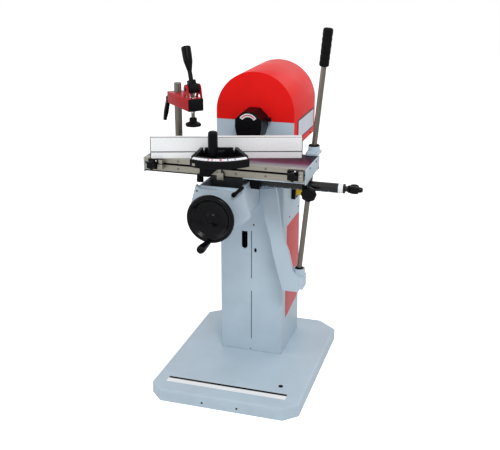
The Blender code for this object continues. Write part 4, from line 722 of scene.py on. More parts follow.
class MORTISER_OT_hood(bpy.types.Operator):
    """Arched motor cover, front panel and side plate."""

    bl_idname = "mortiser.hood"
    bl_label = "Motor cover"

    def execute(self, context):
        """Roll the cover, close it front and back and set the panel and the plate."""
        half, sheet, spring, foot = 0.143, 3 * MM, 0.964, 0.838
        back, front = (-0.3810, -0.3760), (-0.0580, -0.0550)
        seam_over, seam_under, over_angle, under_angle = 0.9352, 0.9347, 0.186, 0.196
        outer, inner = arch(half, spring, foot), arch(half - sheet, spring, foot)
        cover = np.concatenate((arch(half, spring, seam_over), port(np.pi + over_angle, -over_angle)))
        parts = [slab(np.concatenate((outer, inner[::-1])), -0.3785, -0.0575, 0.4 * MM, axes=FRONT_AXES),
                 slab(cover, *front, 1.4 * MM, axes=FRONT_AXES, steps=4),
                 slab(outer, *back, 2.2 * MM, axes=FRONT_AXES, steps=4)]
        piece("motor_cover", parts, "frame", "red", "hood_red", ("motor_hood",))
        panel = np.concatenate((((-half, foot), (half, foot), (half, seam_under)),
                                port(-under_angle, under_angle - np.pi), ((-half, seam_under),)))
        piece("cover_panel", slab(panel, *front, 0.5 * MM, axes=FRONT_AXES), "frame", "grey", "pale_paint",
              ("front_panel",))
        softened("side_plate", "dark_bolt", "black_paint", 0.4 * MM, 2)
        plate = 0.1446
        label = slab(box_outline((0.116, 0.349), (0.867, 0.929)), plate, plate + 0.4 * MM, 0.1 * MM,
                     axes=SIDE_AXES, corner=2 * MM)
        piece("plate_label", label, "frame", "label", "bright_steel")
        rivets = [dome_head((plate + 0.3 * MM, y, z), RIGHT, 1.6 * MM)
                  for y in (0.120, 0.345) for z in (0.871, 0.925)]
        piece("plate_rivets", rivets, "frame", "bolt", "bright_steel")
        bolts = [dome_head((side * half, y, 0.8475), (side, 0, 0), 4.6 * MM)
                 for side in (1, -1) for y in (0.120, 0.310)]
        piece("cover_bolts", bolts, "frame", "dark_bolt", "black_paint")
        return {"FINISHED"}


class MORTISER_OT_guard(bpy.types.Operator):
    """Black guard over the bit holder, its ring, its knob and its arc mark."""

    bl_idname = "mortiser.guard"
    bl_label = "Bit guard"

    def execute(self, context):
        """Ease the guard, add its ring, the mark and the knob."""
        softened("bit_guard", "black", "black_plastic", 2.2 * MM, 3, 20)
        centre = (0, -0.0272, SPINDLE_Z)
        start, end = np.pi / 2 - np.radians(56), np.pi / 2 + np.radians(56)
        mark = band(centre, 24 * MM, 36 * MM, start, end, -0.1 * MM, 0.3 * MM, FRONT_AXES)
        piece("guard_mark", mark, "frame", "white", "black_plastic")
        arc = band(centre, 28 * MM, 32 * MM, start + 0.1, end - 0.1, 0.2 * MM, 0.5 * MM, FRONT_AXES)
        piece("guard_mark_arc", arc, "frame", "mark_red", "hood_red")
        ring = ((0.0088, 0.0), (0.0135, 0.0), (0.0135, 0.0016), (0.0088, 0.0016), (0.0088, 0.0))
        piece("guard_ring", lathe(ring, (0, -0.0268, SPINDLE_Z), FRONT, 0.5 * MM), "frame", "black",
              "black_plastic")
        knob = star_skins((0.0490, 0.036, 0.946), RIGHT, 9 * MM, 1.2 * MM, 4.5 * MM, 16 * MM, 3 * MM)
        piece("guard_knob_lobed", knob, "guard_knob", "black", "black_plastic", ("guard_knob",))
        return {"FINISHED"}


class MORTISER_OT_switch(bpy.types.Operator):
    """Switch box with its flap and buttons."""

    bl_idname = "mortiser.switch"
    bl_label = "Switch"

    def execute(self, context):
        """Ease the box and the flap and crown the buttons."""
        softened("switch_box", "black", "black_plastic", 1.2 * MM, 3, 60)
        softened("switch_flap", "yellow", "yellow_plastic", 1.4 * MM, 3)
        face, row = 0.1300, 0.669
        crown = ((0, 0.0035), (0.0088, 0.0035), (0.0088, 0.0082), (0.0065, 0.0098), (0, 0.0100))
        for node, y, finish, slot in (("start_button", 0.180, "green", "green_plastic"),
                                      ("stop_button", 0.206, "button_red", "red_plastic")):
            button = lathe(crown, (face, y, row), RIGHT, 0.8 * MM, 48)
            piece(node + "_crowned", button, node, finish, slot, (node,))
        return {"FINISHED"}


class MORTISER_OT_knee(bpy.types.Operator):
    """Lifting knee, its lock lever and the arm for the hand lever."""

    bl_idname = "mortiser.knee"
    bl_label = "Knee"

    def execute(self, context):
        """Ease the knee, the arm and the lock lever, and set the bolts."""
        for node in ("knee", "lever_arm"):
            softened(node, "grey", "pale_paint", 1.6 * MM, 3)
        softened("knee_lock_lever", "black", "black_plastic", context.scene.mortiser_studio.soft_edge, 2)
        face = -0.2900
        bolts = [dome_head((x, face, z), FRONT, radius)
                 for x, z, radius in ((-0.0925, 0.768, 3.2 * MM), (0.0336, 0.7596, 2.4 * MM))]
        piece("knee_bolts", bolts, "knee", "dark_bolt", "black_paint")
        return {"FINISHED"}


class MORTISER_OT_handwheel(bpy.types.Operator):
    """Dished handwheel and its crank grip."""

    bl_idname = "mortiser.handwheel"
    bl_label = "Handwheel"

    def execute(self, context):
        """Turn the wheel and the grip on the lathe."""
        hub, crank = (SHAFT_X, -0.350, 0.697), (SHAFT_X, -0.360, 0.627)
        wheel = ((0.0, -0.002), (0.014, -0.002), (0.018, -0.006), (0.030, -0.0085), (0.046, -0.005),
                 (0.058, -0.001), (0.0645, 0.006), (0.069, 0.0092), (0.074, 0.0095), (0.0787, 0.0070),
                 (0.081, 0.0), (0.0787, -0.0070), (0.073, -0.0095), (0.066, -0.0085), (0.058, -0.0125),
                 (0.030, -0.018), (0.021, -0.023), (0.018, -0.0338), (0.0, -0.0340))
        piece("handwheel_turned", lathe(wheel, hub, FRONT, 3 * MM, 128), "handwheel", "gloss_black",
              "gloss_black", ("handwheel",))
        grip = ((0.0, 0.0), (0.0082, 0.0), (0.0086, 0.008), (0.0095, 0.022), (0.0115, 0.046),
                (0.0135, 0.068), (0.0140, 0.078), (0.0128, 0.088), (0.0085, 0.0915), (0.0, 0.092))
        piece("crank_grip_turned", lathe(grip, crank, FRONT, 3 * MM, 64), "crank", "gloss_black",
              "gloss_black", ("crank_grip",))
        return {"FINISHED"}


class MORTISER_OT_lever(bpy.types.Operator):
    """Long hand lever, its grip, the bush on the table and the boot."""

    bl_idname = "mortiser.lever"
    bl_label = "Hand lever"

    def execute(self, context):
        """Turn the rod and the grip, and cast the bracket with its bush."""
        along = np.array((np.sin(LEVER_LEAN), 0, np.cos(LEVER_LEAN)))
        pin = lathe(((0, -0.0152), (0.0030, -0.0152), (0.0030, 0.0152), (0, 0.0152)), LEVER_FOOT, FRONT,
                    0.4 * MM, 24)
        rod = lathe(((0, -0.012), (0.0085, -0.012), (0.009, -0.010), (0.009, 0.7255), (0, 0.7255)),
                    LEVER_FOOT, along, 0.6 * MM, 64)
        piece("lever_rod_ground", [rod, pin], "lever", "steel", "bright_steel", ("lever_rod",))
        self.grip(along)
        self.bracket()
        ring = ((0.0090, 0.0040), (0.0125, 0.0040), (0.0135, 0.0060), (0.0125, 0.0085), (0.0090, 0.0085),
                (0.0090, 0.0040))
        piece("lever_foot_ring", lathe(ring, LEVER_FOOT, along, 0.6 * MM, 40), "lever", "rubber", "rubber")
        return {"FINISHED"}

    @staticmethod
    def grip(along):
        """Rubber grip whose radius dips by 0.8 (1/2 + 1/2 cos of the height over the pitch)^2 mm."""
        start, radius, pitch, groove = 0.726, 0.0165, 0.0195, 0.0008
        rows = np.linspace(0.006, 0.106, 64)
        waist = radius - groove * (0.5 + 0.5 * np.cos(rows / pitch * TURN)) ** 2
        end = ((radius, 0.1150), (0.0160, 0.1200), (0.0125, 0.1235), (0.009, 0.1242), (0.0, 0.1243))
        profile = ((0.0, 0.0), (0.013, 0.0), (0.0158, 0.003), *zip(waist, rows), *end)
        grip = lathe(profile, LEVER_FOOT + along * start, along, 0.5 * MM, 64)
        piece("lever_grip_grooved", grip, "lever", "rubber", "rubber", ("lever_grip",))

    @staticmethod
    def bracket():
        """Bracket on the table's right end, with its bush, its boot and two cap screws."""
        bush_x, bush_y, foot_top = 0.236, -0.033, 0.8660
        foot = ((0.2150, -0.0690), (0.2190, -0.0735), (0.2540, -0.0715), (0.2585, -0.0650),
                (0.2585, -0.0120), (0.2135, -0.0120))
        bush = ((0.0172, 0.8580), (0.0225, 0.8580), (0.0200, 0.8670), (0.0193, 0.8820), (0.0172, 0.8820),
                (0.0172, 0.8580))
        cast = [slab(foot, ON_TABLE, foot_top, 1.2 * MM, corner=1.5 * MM),
                lathe(bush, (bush_x, bush_y, 0), UP, 0.8 * MM, 64)]
        piece("bracket_cast", cast, "table", "grey", "pale_paint", ("lever_bracket",))
        boot = ((0.0170, 0.0), (0.0190, 0.0), (0.0192, 0.0008), (0.0185, 0.0016), (0.0188, 0.0024),
                (0.0180, 0.0034), (0.0170, 0.0035), (0.0170, 0.0))
        piece("lever_boot_ribbed", lathe(boot, (bush_x, bush_y, 0.8823), UP, 0.5 * MM, 64), "table",
              "rubber", "rubber", ("lever_boot",))
        bolts = [socket_head((x, y, foot_top), UP, 2.8 * MM)
                 for x, y in ((0.2215, -0.0665), (0.2520, -0.0650))]
        piece("bracket_bolts", bolts, "table", "bolt", "bright_steel")


class MORTISER_OT_saddle(bpy.types.Operator):
    """Saddle under the table, the bracket of the index bar and the carrier that slides on the bar."""

    bl_idname = "mortiser.saddle"
    bl_label = "Saddle"

    def execute(self, context):
        """Ease both castings, then cast the carrier and bend its clip."""
        softened("saddle", "inner_grey", "motor_grey", 1.2 * MM, 2)
        softened("index_bracket", "black_paint", "black_paint", 1.2 * MM, 2)
        near, far, room = 0.2362, 0.2570, 0.0167
        lug = slab(box_outline((-0.1690, -0.1400), (0.8005, 0.8457)), near, 0.2560, 0.8 * MM,
                   axes=SIDE_AXES)
        boss = lathe(((0.0, 0.0), (0.0085, 0.0), (0.0085, 0.0140), (0.0, 0.0140)),
                     INDEX_KNOB + (0, 0.0143, 0), FRONT, 0.8 * MM, 40)
        piece("carrier_cast", [self.hub(near, far, room), lug, boss], "table", "black_paint",
              "black_paint", ("index_carrier",))
        t = np.linspace(0, 1, 14)[:, None]
        top, bend, end = np.array(((0.2600, -0.1990, 0.8080), (0.2520, -0.2000, 0.7980),
                                   (0.2560, -0.1972, 0.7860)))
        clip = (1 - t) ** 2 * top + 2 * t * (1 - t) * bend + t ** 2 * end
        piece("carrier_clip", pipe(clip, 1.3 * MM, 10), "table", "bolt", "bright_steel")
        return {"FINISHED"}

    @staticmethod
    def hub(near, far, room):
        """Bored block: at each angle the bore's point is r (cos, sin), and the outer point lies on the same
        ray, at the nearer of the two sides that the ray meets."""
        angle = np.linspace(0, TURN, 96, endpoint=False) + 0.01
        way = np.stack((np.cos(angle), np.sin(angle)), 1)
        back_and_top, front_and_bottom = (0.025, 0.0225), (0.031, 0.039)
        reach = np.where(way > 0, back_and_top, front_and_bottom) / np.abs(way)
        eye = INDEX_BAR[1:] + room * way
        block = INDEX_BAR[1:] + way * reach.min(1)[:, None]
        rings = [np.column_stack((ring, np.full(len(ring), x)))
                 for ring, x in ((eye, near), (block, near), (block, far), (eye, far), (eye, near))]
        return skin(np.stack(rings) @ SIDE_AXES.T, caps=False)


class MORTISER_OT_index_bar(bpy.types.Operator):
    """Index bar with its ring, dimples and knobs."""

    bl_idname = "mortiser.index_bar"
    bl_label = "Index bar"

    def execute(self, context):
        """Turn the bar, drill its dimples and set the knobs."""
        bar = ((0.0, 0.0), (0.0150, 0.0), (0.016, 0.001), (0.016, 0.287), (0.0150, 0.2885),
               (0.0150, 0.3045), (0.016, 0.306), (0.016, 0.3095), (0.0125, 0.3110), (0.009, 0.3115),
               (0.009, 0.318), (0.0, 0.318))
        piece("index_bar_turned", lathe(bar, INDEX_BAR, RIGHT, 0.6 * MM, 72), "index_bar", "bar_black",
              "gloss_black", ("index_bar",))
        ring = ((0.0151, 0.2888), (0.0160, 0.2888), (0.0160, 0.3042), (0.0151, 0.3042), (0.0151, 0.2888))
        piece("index_ring", lathe(ring, INDEX_BAR, RIGHT, 0.2 * MM, 72), "index_bar", "white",
              "gloss_black")
        lean = np.array((0, -0.72, -0.69))
        first, pitch, depth = 0.050, 0.026, 0.01595
        dots = [hole_disc(INDEX_BAR + (first + pitch * k, 0, 0) + lean * depth, lean, 2.6 * MM, 0.2 * MM)
                for k in range(9)]
        piece("index_dimples", dots, "index_bar", "bolt", "gloss_black")
        end = INDEX_BAR + (0.3183, 0, 0)
        tip = ((0.0, 0.030), (0.0100, 0.034), (0.0085, 0.044), (0.0070, 0.0485), (0.0, 0.0490))
        star = star_skins(end, RIGHT, 17.3 * MM, 3.5 * MM, 6 * MM, 37 * MM, 11.5 * MM)
        star.append(lathe(tip, end, RIGHT, 1.5 * MM, 40))
        piece("index_star_lobed", star, "index_bar", "gloss_black", "gloss_black", ("index_star_knob",))
        knob = ((0.0, 0.0), (0.0068, 0.0), (0.0072, 0.010), (0.0225, 0.0118), (0.0255, 0.0150),
                (0.026, 0.0195), (0.0250, 0.0240), (0.0200, 0.0278), (0.0110, 0.0288), (0.0, 0.0290))
        turned = lathe(knob, INDEX_KNOB, FRONT, 2.0 * MM, 72, lobes=8, dip=1.6 * MM, from_radius=0.0215)
        piece("index_knob_turned", turned, "index_knob", "black", "black_plastic", ("index_knob",))
        return {"FINISHED"}


class MORTISER_OT_table(bpy.types.Operator):
    """Ground table, slotted rail, end plates, runners and their screws."""

    bl_idname = "mortiser.table"
    bl_label = "Table"

    def execute(self, context):
        """Grind the table, the rail and the runners, and close both ends."""
        left, right, rail_rear, rear, top = -0.2920, 0.2570, -0.2277, -0.0570, 0.8560
        table = slab(box_outline((left, right), (rail_rear, rear)), top - 10 * MM, top, 0.5 * MM)
        piece("table_top", table, "table", "table", "bright_steel", ("table_plate",))
        section = ((RAIL_FACE, 0.8100), (-0.2280, 0.8100), (-0.2280, top), (RAIL_FACE, top),
                   (RAIL_FACE, 0.8420), (-0.2445, 0.8420), (-0.2445, 0.8460), (-0.2380, 0.8460),
                   (-0.2380, 0.8310), (-0.2445, 0.8310), (-0.2445, 0.8350), (RAIL_FACE, 0.8350))
        rail = slab(section, left, right, 0.4 * MM, axes=SIDE_AXES)
        piece("slotted_rail", rail, "table", "rail", "bright_steel", ("table_rail",))
        plate = ((RAIL_FACE, 0.806), (rear, 0.816), (rear, top), (RAIL_FACE, top))
        left_face, right_face = -0.2963, 0.2613
        for name, low, high in (("left", left_face, -0.2923), ("right", 0.2573, right_face)):
            cover = slab(plate, low, high, 0.6 * MM, axes=SIDE_AXES, corner=1.5 * MM)
            piece("end_cover_" + name, cover, "table", "grey", "pale_paint", ("end_plate_" + name,))
        bar = ((0, left), (0.008, left), (0.008, right), (0, right))
        for name, y in (("front", -0.178), ("rear", -0.127)):
            runner = lathe(bar, (0, y, 0.829), RIGHT, 0.2 * MM, 48)
            piece("runner_ground_" + name, runner, "table", "rail", "steel", ("runner_" + name,))
        rows = [socket_head((x, RAIL_FACE + 0.3 * MM, z), FRONT, 3.4 * MM, 0.5 * MM)
                for x in (-0.172, -0.072, 0.028, 0.128, 0.228) for z in (0.850, 0.8245)]
        piece("rail_screws", rows, "table", "dark_bolt", "black_paint")
        ends = [dome_head((x, y, 0.8490), along, 3.6 * MM)
                for x, along in ((right_face, RIGHT), (left_face, LEFT)) for y in (-0.1975, -0.109)]
        piece("end_screws", ends, "table", "dark_bolt", "black_paint")
        feet = [socket_head((x, y, 0.8185), DOWN, 3.0 * MM, 6 * MM)
                for x in (right_face - 2 * MM, left_face + 2 * MM) for y in (-0.078, -0.062)]
        piece("end_feet", feet, "table", "dark_bolt", "black_paint")
        # Painted shade: a black sheet at the back of the rail's slot.
        dark = slab(box_outline((-0.2915, 0.2565), (0.8312, 0.8458)), 0.2384, 0.2390, 0.05 * MM,
                    axes=FRONT_AXES)
        piece("rail_slot_painted_shade", dark, "table", "shadow", "black_paint")
        # Painted light and shade on the rail's lower lip: a pale strip on the right stands for sunlight, a
        # black strip on the left for shade.
        split, foot, face = 0.052, 0.8102, -RAIL_FACE
        for lit_or_shaded, span, head, out, finish, slot in (
                ("pale", (split, 0.2565), 0.8135, 1.0 * MM, "grey", "pale_paint"),
                ("dark", (-0.2915, split), 0.8142, 0.8 * MM, "black_paint", "black_paint")):
            lip = slab(box_outline(span, (foot, head)), face - 0.1 * MM, face + out, 0.4 * MM,
                       axes=FRONT_AXES)
            piece("rail_lip_painted_light_" + lit_or_shaded, lip, "table", finish, slot)
        return {"FINISHED"}


class MORTISER_OT_stops(bpy.types.Operator):
    """End stops of the rail, their bright plates and their knobs."""

    bl_idname = "mortiser.stops"
    bl_label = "Rail stops"

    def execute(self, context):
        """Ease the stops, screw on the plates and set the lobed knobs."""
        face, foot = 0.2660, 0.8225
        plate = (face - 0.1 * MM, face + 0.4 * MM, 0.2 * MM)
        left_plates = [slab(box_outline(xs, zs), *plate, axes=FRONT_AXES)
                       for xs, zs in (((-0.2395, -0.2222), (foot, 0.8395)),
                                      ((-0.2357, -0.2222), (0.8425, 0.8552)))]
        left_plates += [slab(box_outline((-0.2664, -0.2504), zs), -0.2221, -0.2217, 0.1 * MM,
                             axes=SIDE_AXES) for zs in ((foot, 0.8395), (0.8425, 0.8552))]
        right_plates = [slab(box_outline((0.2400, 0.2554), (foot, 0.8550)), *plate, axes=FRONT_AXES)]
        for side, x, plates in (("left", -0.257, left_plates), ("right", 0.221, right_plates)):
            softened("stop_" + side, "black_paint", "black_paint",
                     context.scene.mortiser_studio.soft_edge, 2)
            knob = star_skins((x, -0.2663, 0.8385), FRONT, 16.5 * MM, 3.4 * MM, 7 * MM, 20 * MM, 7 * MM)
            piece("stop_knob_%s_lobed" % side, knob, "stop_knob_" + side, "gloss_black", "gloss_black",
                  ("stop_knob_" + side,))
            piece("stop_plate_" + side, plates, "stop_" + side, "rail", "bright_steel")
        wing = ((0.2420, 0.8385), (0.2445, 0.8372), (0.2520, 0.8412), (0.2518, 0.8432), (0.2470, 0.8425))
        parts = [slab(wing, face, face + 2.5 * MM, 0.5 * MM, axes=FRONT_AXES, corner=1 * MM),
                 dome_head((0.2290, -face, 0.8530), FRONT, 3.2 * MM, 3.4 * MM)]
        piece("stop_wing_right", parts, "stop_right", "bolt", "bright_steel")
        bolt = dome_head((-0.2440, -face, 0.8500), FRONT, 3.4 * MM, 3.4 * MM)
        piece("stop_bolt_left", bolt, "stop_left", "bolt", "bright_steel")
        return {"FINISHED"}


class MORTISER_OT_mitre(bpy.types.Operator):
    """Mitre head with its scale, its base and its knobs."""

    bl_idname = "mortiser.mitre"
    bl_label = "Mitre head"

    def execute(self, context):
        """Build the head, its scale, the block under it and the knobs."""
        softened("mitre_base", "black_paint", "black_paint", 0.8 * MM, 2)
        self.head()
        self.scale()
        bolts = [dome_head(by_mitre(x, 0.0042, 0.8775), by_mitre(x, -1, 0) - by_mitre(x, 0, 0), 5.0 * MM)
                 for x in (-0.0536, 0.0458)]
        piece("head_bolts", bolts, "mitre_head", "dark_bolt", "black_paint")
        self.block()
        knob = ((0.0, 0.0), (0.0118, 0.0), (0.0120, 0.0190), (0.0155, 0.0260), (0.0157, 0.0600),
                (0.0155, 0.0960), (0.0140, 0.1020), (0.0100, 0.1050), (0.0, 0.1060))
        tall = lathe(knob, (-0.0341, -0.2930, 0.8663), UP, 2.5 * MM, 64)
        piece("mitre_lock_turned", tall, "mitre_lock", "black", "black_plastic", ("mitre_lock_knob",))
        knob = ((0.0, 0.0), (0.0048, 0.0), (0.0052, 0.0012), (0.0085, 0.0022), (0.0090, 0.0052),
                (0.0080, 0.0082), (0.0045, 0.0098), (0.0, 0.0100))
        small = lathe(knob, (-0.093, -0.2603, 0.799), FRONT, 1.2 * MM, 48)
        piece("mitre_knob_turned", small, "mitre_knob", "black", "black_plastic", ("mitre_knob",))
        return {"FINISHED"}

    @staticmethod
    def head():
        """Cast quadrant: a floor and a rim about the pivot, two flanks with ears, a back and a hub."""
        foot, rear, flank_top = 0.8617, 0.0117, 0.8940
        rim = rounded(((0.126, 0.8618), (0.1500, 0.8618), (0.1500, 0.8845), (0.1378, 0.8928),
                       (0.1350, flank_top), (0.1275, flank_top), (0.126, 0.8925)), 0.8 * MM)
        a = np.linspace(RIM_MIDDLE - RIM_HALF, RIM_MIDDLE + RIM_HALF, 40)
        floor_radius = 0.1275
        fan = np.stack((floor_radius * np.cos(a), floor_radius * np.sin(a)), 1)
        floor = np.concatenate((((-0.0645, 0.0115),), fan, ((0.0580, 0.0115),)))
        cast = [arc_sweep(PIVOT_FOOT, rim, a[0], a[-1], MITRE_AXES, 60),
                slab(floor, foot, 0.8660, 0.4 * MM, at=PIVOT_FOOT, axes=MITRE_AXES)]
        for side, corner, ear in ((-1, 0.0650, 0.0566), (1, 0.0585, 0.0488)):
            flank = np.array(((corner, rear), (ear, rear), (ear, 0.0030), (0.0770, -0.1000),
                              (0.0800, -0.1090), (0.0906, -0.1025))) * (side, 1)
            tip = np.array(((0.0906, -0.1010), (0.0795, -0.1060), (0.0944, -0.1166))) * (side, 1)
            cast += [slab(flank, foot, flank_top, 1.2 * MM, PIVOT_FOOT, MITRE_AXES, 1.5 * MM),
                     slab(tip, foot, 0.8850, 0.5 * MM, PIVOT_FOOT, MITRE_AXES)]
        back, ledge = box_outline((-0.0506, 0.0428), (0.0040, rear)), box_outline((-0.0600, 0.0520),
                                                                                  (0.0044, 0.0114))
        hub = ((0, 0.8640), (0.0205, 0.8640), (0.0195, 0.8700), (0.0190, 0.8850), (0.0165, 0.8880),
               (0.0070, 0.8880), (0.0060, 0.8862), (0, 0.8862))
        cast += [slab(back, foot, flank_top, 1.0 * MM, PIVOT_FOOT, MITRE_AXES, 1 * MM),
                 slab(ledge, foot, 0.8840, 0.6 * MM, PIVOT_FOOT, MITRE_AXES),
                 lathe(hub, PIVOT_FOOT, UP, 1.2 * MM, 48)]
        piece("mitre_head_cast", cast, "mitre_head", "black_paint", "black_paint", ("mitre_head",))

    @staticmethod
    def scale():
        """White scale on the sloped edge of the rim, its ticks and its red and blue marks."""
        inner, outer = np.array((0.1376, 0.8932)), np.array((0.1500, 0.8848))
        proud = np.array((0.00014, 0.00021))

        def strip(near, far, start, end, lift, steps):
            """Part of the slope between two shares of its width, lifted off it."""
            a, b = inner + (outer - inner) * near, inner + (outer - inner) * far
            section = (a, b, b + proud * lift, a + proud * lift)
            return arc_sweep(PIVOT_FOOT, section, RIM_MIDDLE + np.radians(start),
                             RIM_MIDDLE + np.radians(end), MITRE_AXES, steps)

        piece("scale_band", strip(0.06, 0.66, -37.0, 37.0, 1.0, 60), "mitre_head", "white", "bright_steel")
        pitch, half_tick = 5.0, 0.30
        faint = [strip(0.36, 0.62, pitch * k - half_tick, pitch * k + half_tick, 1.8, 3)
                 for k in range(-7, 8)]
        piece("scale_ticks", faint, "mitre_head", "mark_faint", "bright_steel")
        for name, finish, slot, marks in (
                ("red", "mark_red", "hood_red", ((-14.5, 0.9), (-9.5, 0.8), (1.5, 1.4))),
                ("blue", "mark_blue", "black_paint", ((10.5, 0.9), (20.0, 0.8)))):
            group = [strip(0.12, 0.56, at - wide, at + wide, 2.4, 4) for at, wide in marks]
            piece("scale_marks_" + name, group, "mitre_head", finish, slot)
        section = ((0.1496, 0.868), (0.1502, 0.868), (0.1502, 0.876), (0.1496, 0.876))
        start, wide = RIM_MIDDLE - np.radians(35.6), np.radians(4.3)
        pad = arc_sweep(PIVOT_FOOT, section, start, start + wide, MITRE_AXES, 6)
        piece("rim_pad", pad, "mitre_head", "rail", "bright_steel")

    @staticmethod
    def block():
        """Gusset, screws and key plate of the block that slides along the rail."""
        face = 0.2680
        gusset = ((-0.0585, 0.8180), (-0.0493, 0.8215), (-0.0246, 0.8440), (-0.0246, 0.8562),
                  (-0.0585, 0.8562))
        parts = [slab(gusset, 0.2610, 0.2678, 0.8 * MM, axes=FRONT_AXES, corner=1 * MM),
                 dome_head((-0.0714, -face, 0.8358), FRONT, 3.0 * MM),
                 dome_head((-0.0611, -face, 0.8545), FRONT, 3.0 * MM)]
        piece("mitre_gusset", parts, "mitre_slide", "black_paint", "black_paint")
        piece("mitre_block_screw", dome_head((-0.0735, -face, 0.8520), FRONT, 2.6 * MM), "mitre_slide",
              "bolt", "bright_steel")
        key_low, key_high = 0.2598, 0.2606
        key = [slab(box_outline((-0.0287, -0.0183), (0.8260, 0.8550)), key_low, key_high, 0.3 * MM,
                    axes=FRONT_AXES),
               slab(box_outline((-0.0338, -0.0112), (0.8022, 0.8268)), key_low, key_high, 0.3 * MM,
                    axes=FRONT_AXES, corner=1.5 * MM)]
        piece("mitre_key_plate", key, "mitre_slide", "rail", "bright_steel")


class MORTISER_OT_fence(bpy.types.Operator):
    """Aluminium fence with its groove and end caps."""

    bl_idname = "mortiser.fence"
    bl_label = "Fence"

    def execute(self, context):
        """Extrude the fence, cap its ends and lay two dark lines of painted shade."""
        axes = turned_axes(MITRE_TURN, SIDE_AXES)
        left, right, face, back, top = -0.2290, 0.2700, 0.0120, 0.0320, 0.9280
        groove, groove_low, groove_high, slot = 0.0150, 0.8760, 0.8800, 0.0240
        section = ((face, ON_TABLE), (back, ON_TABLE), (back, 0.8980), (slot, 0.8980), (slot, 0.9060),
                   (back, 0.9060), (back, top), (face, top), (face, groove_high), (groove, groove_high),
                   (groove, groove_low), (face, groove_low))
        bar = slab(section, left, right, 0.5 * MM, PIVOT_FOOT, axes)
        piece("fence_bar", bar, "mitre_head", "aluminium", "aluminium", ("fence",))
        end = box_outline((face + 0.2 * MM, back - 0.2 * MM), (ON_TABLE + 0.3 * MM, top - 0.3 * MM))
        caps = [slab(end, low, high, 0.3 * MM, PIVOT_FOOT, axes, 1 * MM)
                for low, high in ((-0.2312, -0.2288), (0.2698, 0.2722))]
        piece("fence_caps", caps, "mitre_head", "black", "black_plastic")
        # Painted shade: dark grey strips along the top front edge and on the groove's floor.
        for name, ys, zs in (("top_edge_painted_shade", (0.01185, 0.01235), (0.9262, 0.9276)),
                             ("groove_painted_shade", (0.01475, 0.01515), (0.8761, 0.8799))):
            line = slab(box_outline(ys, zs), left + 0.5 * MM, right - 0.5 * MM, 0.1 * MM, PIVOT_FOOT, axes)
            piece("fence_" + name, line, "mitre_head", "inner_grey", "black_paint")
        return {"FINISHED"}


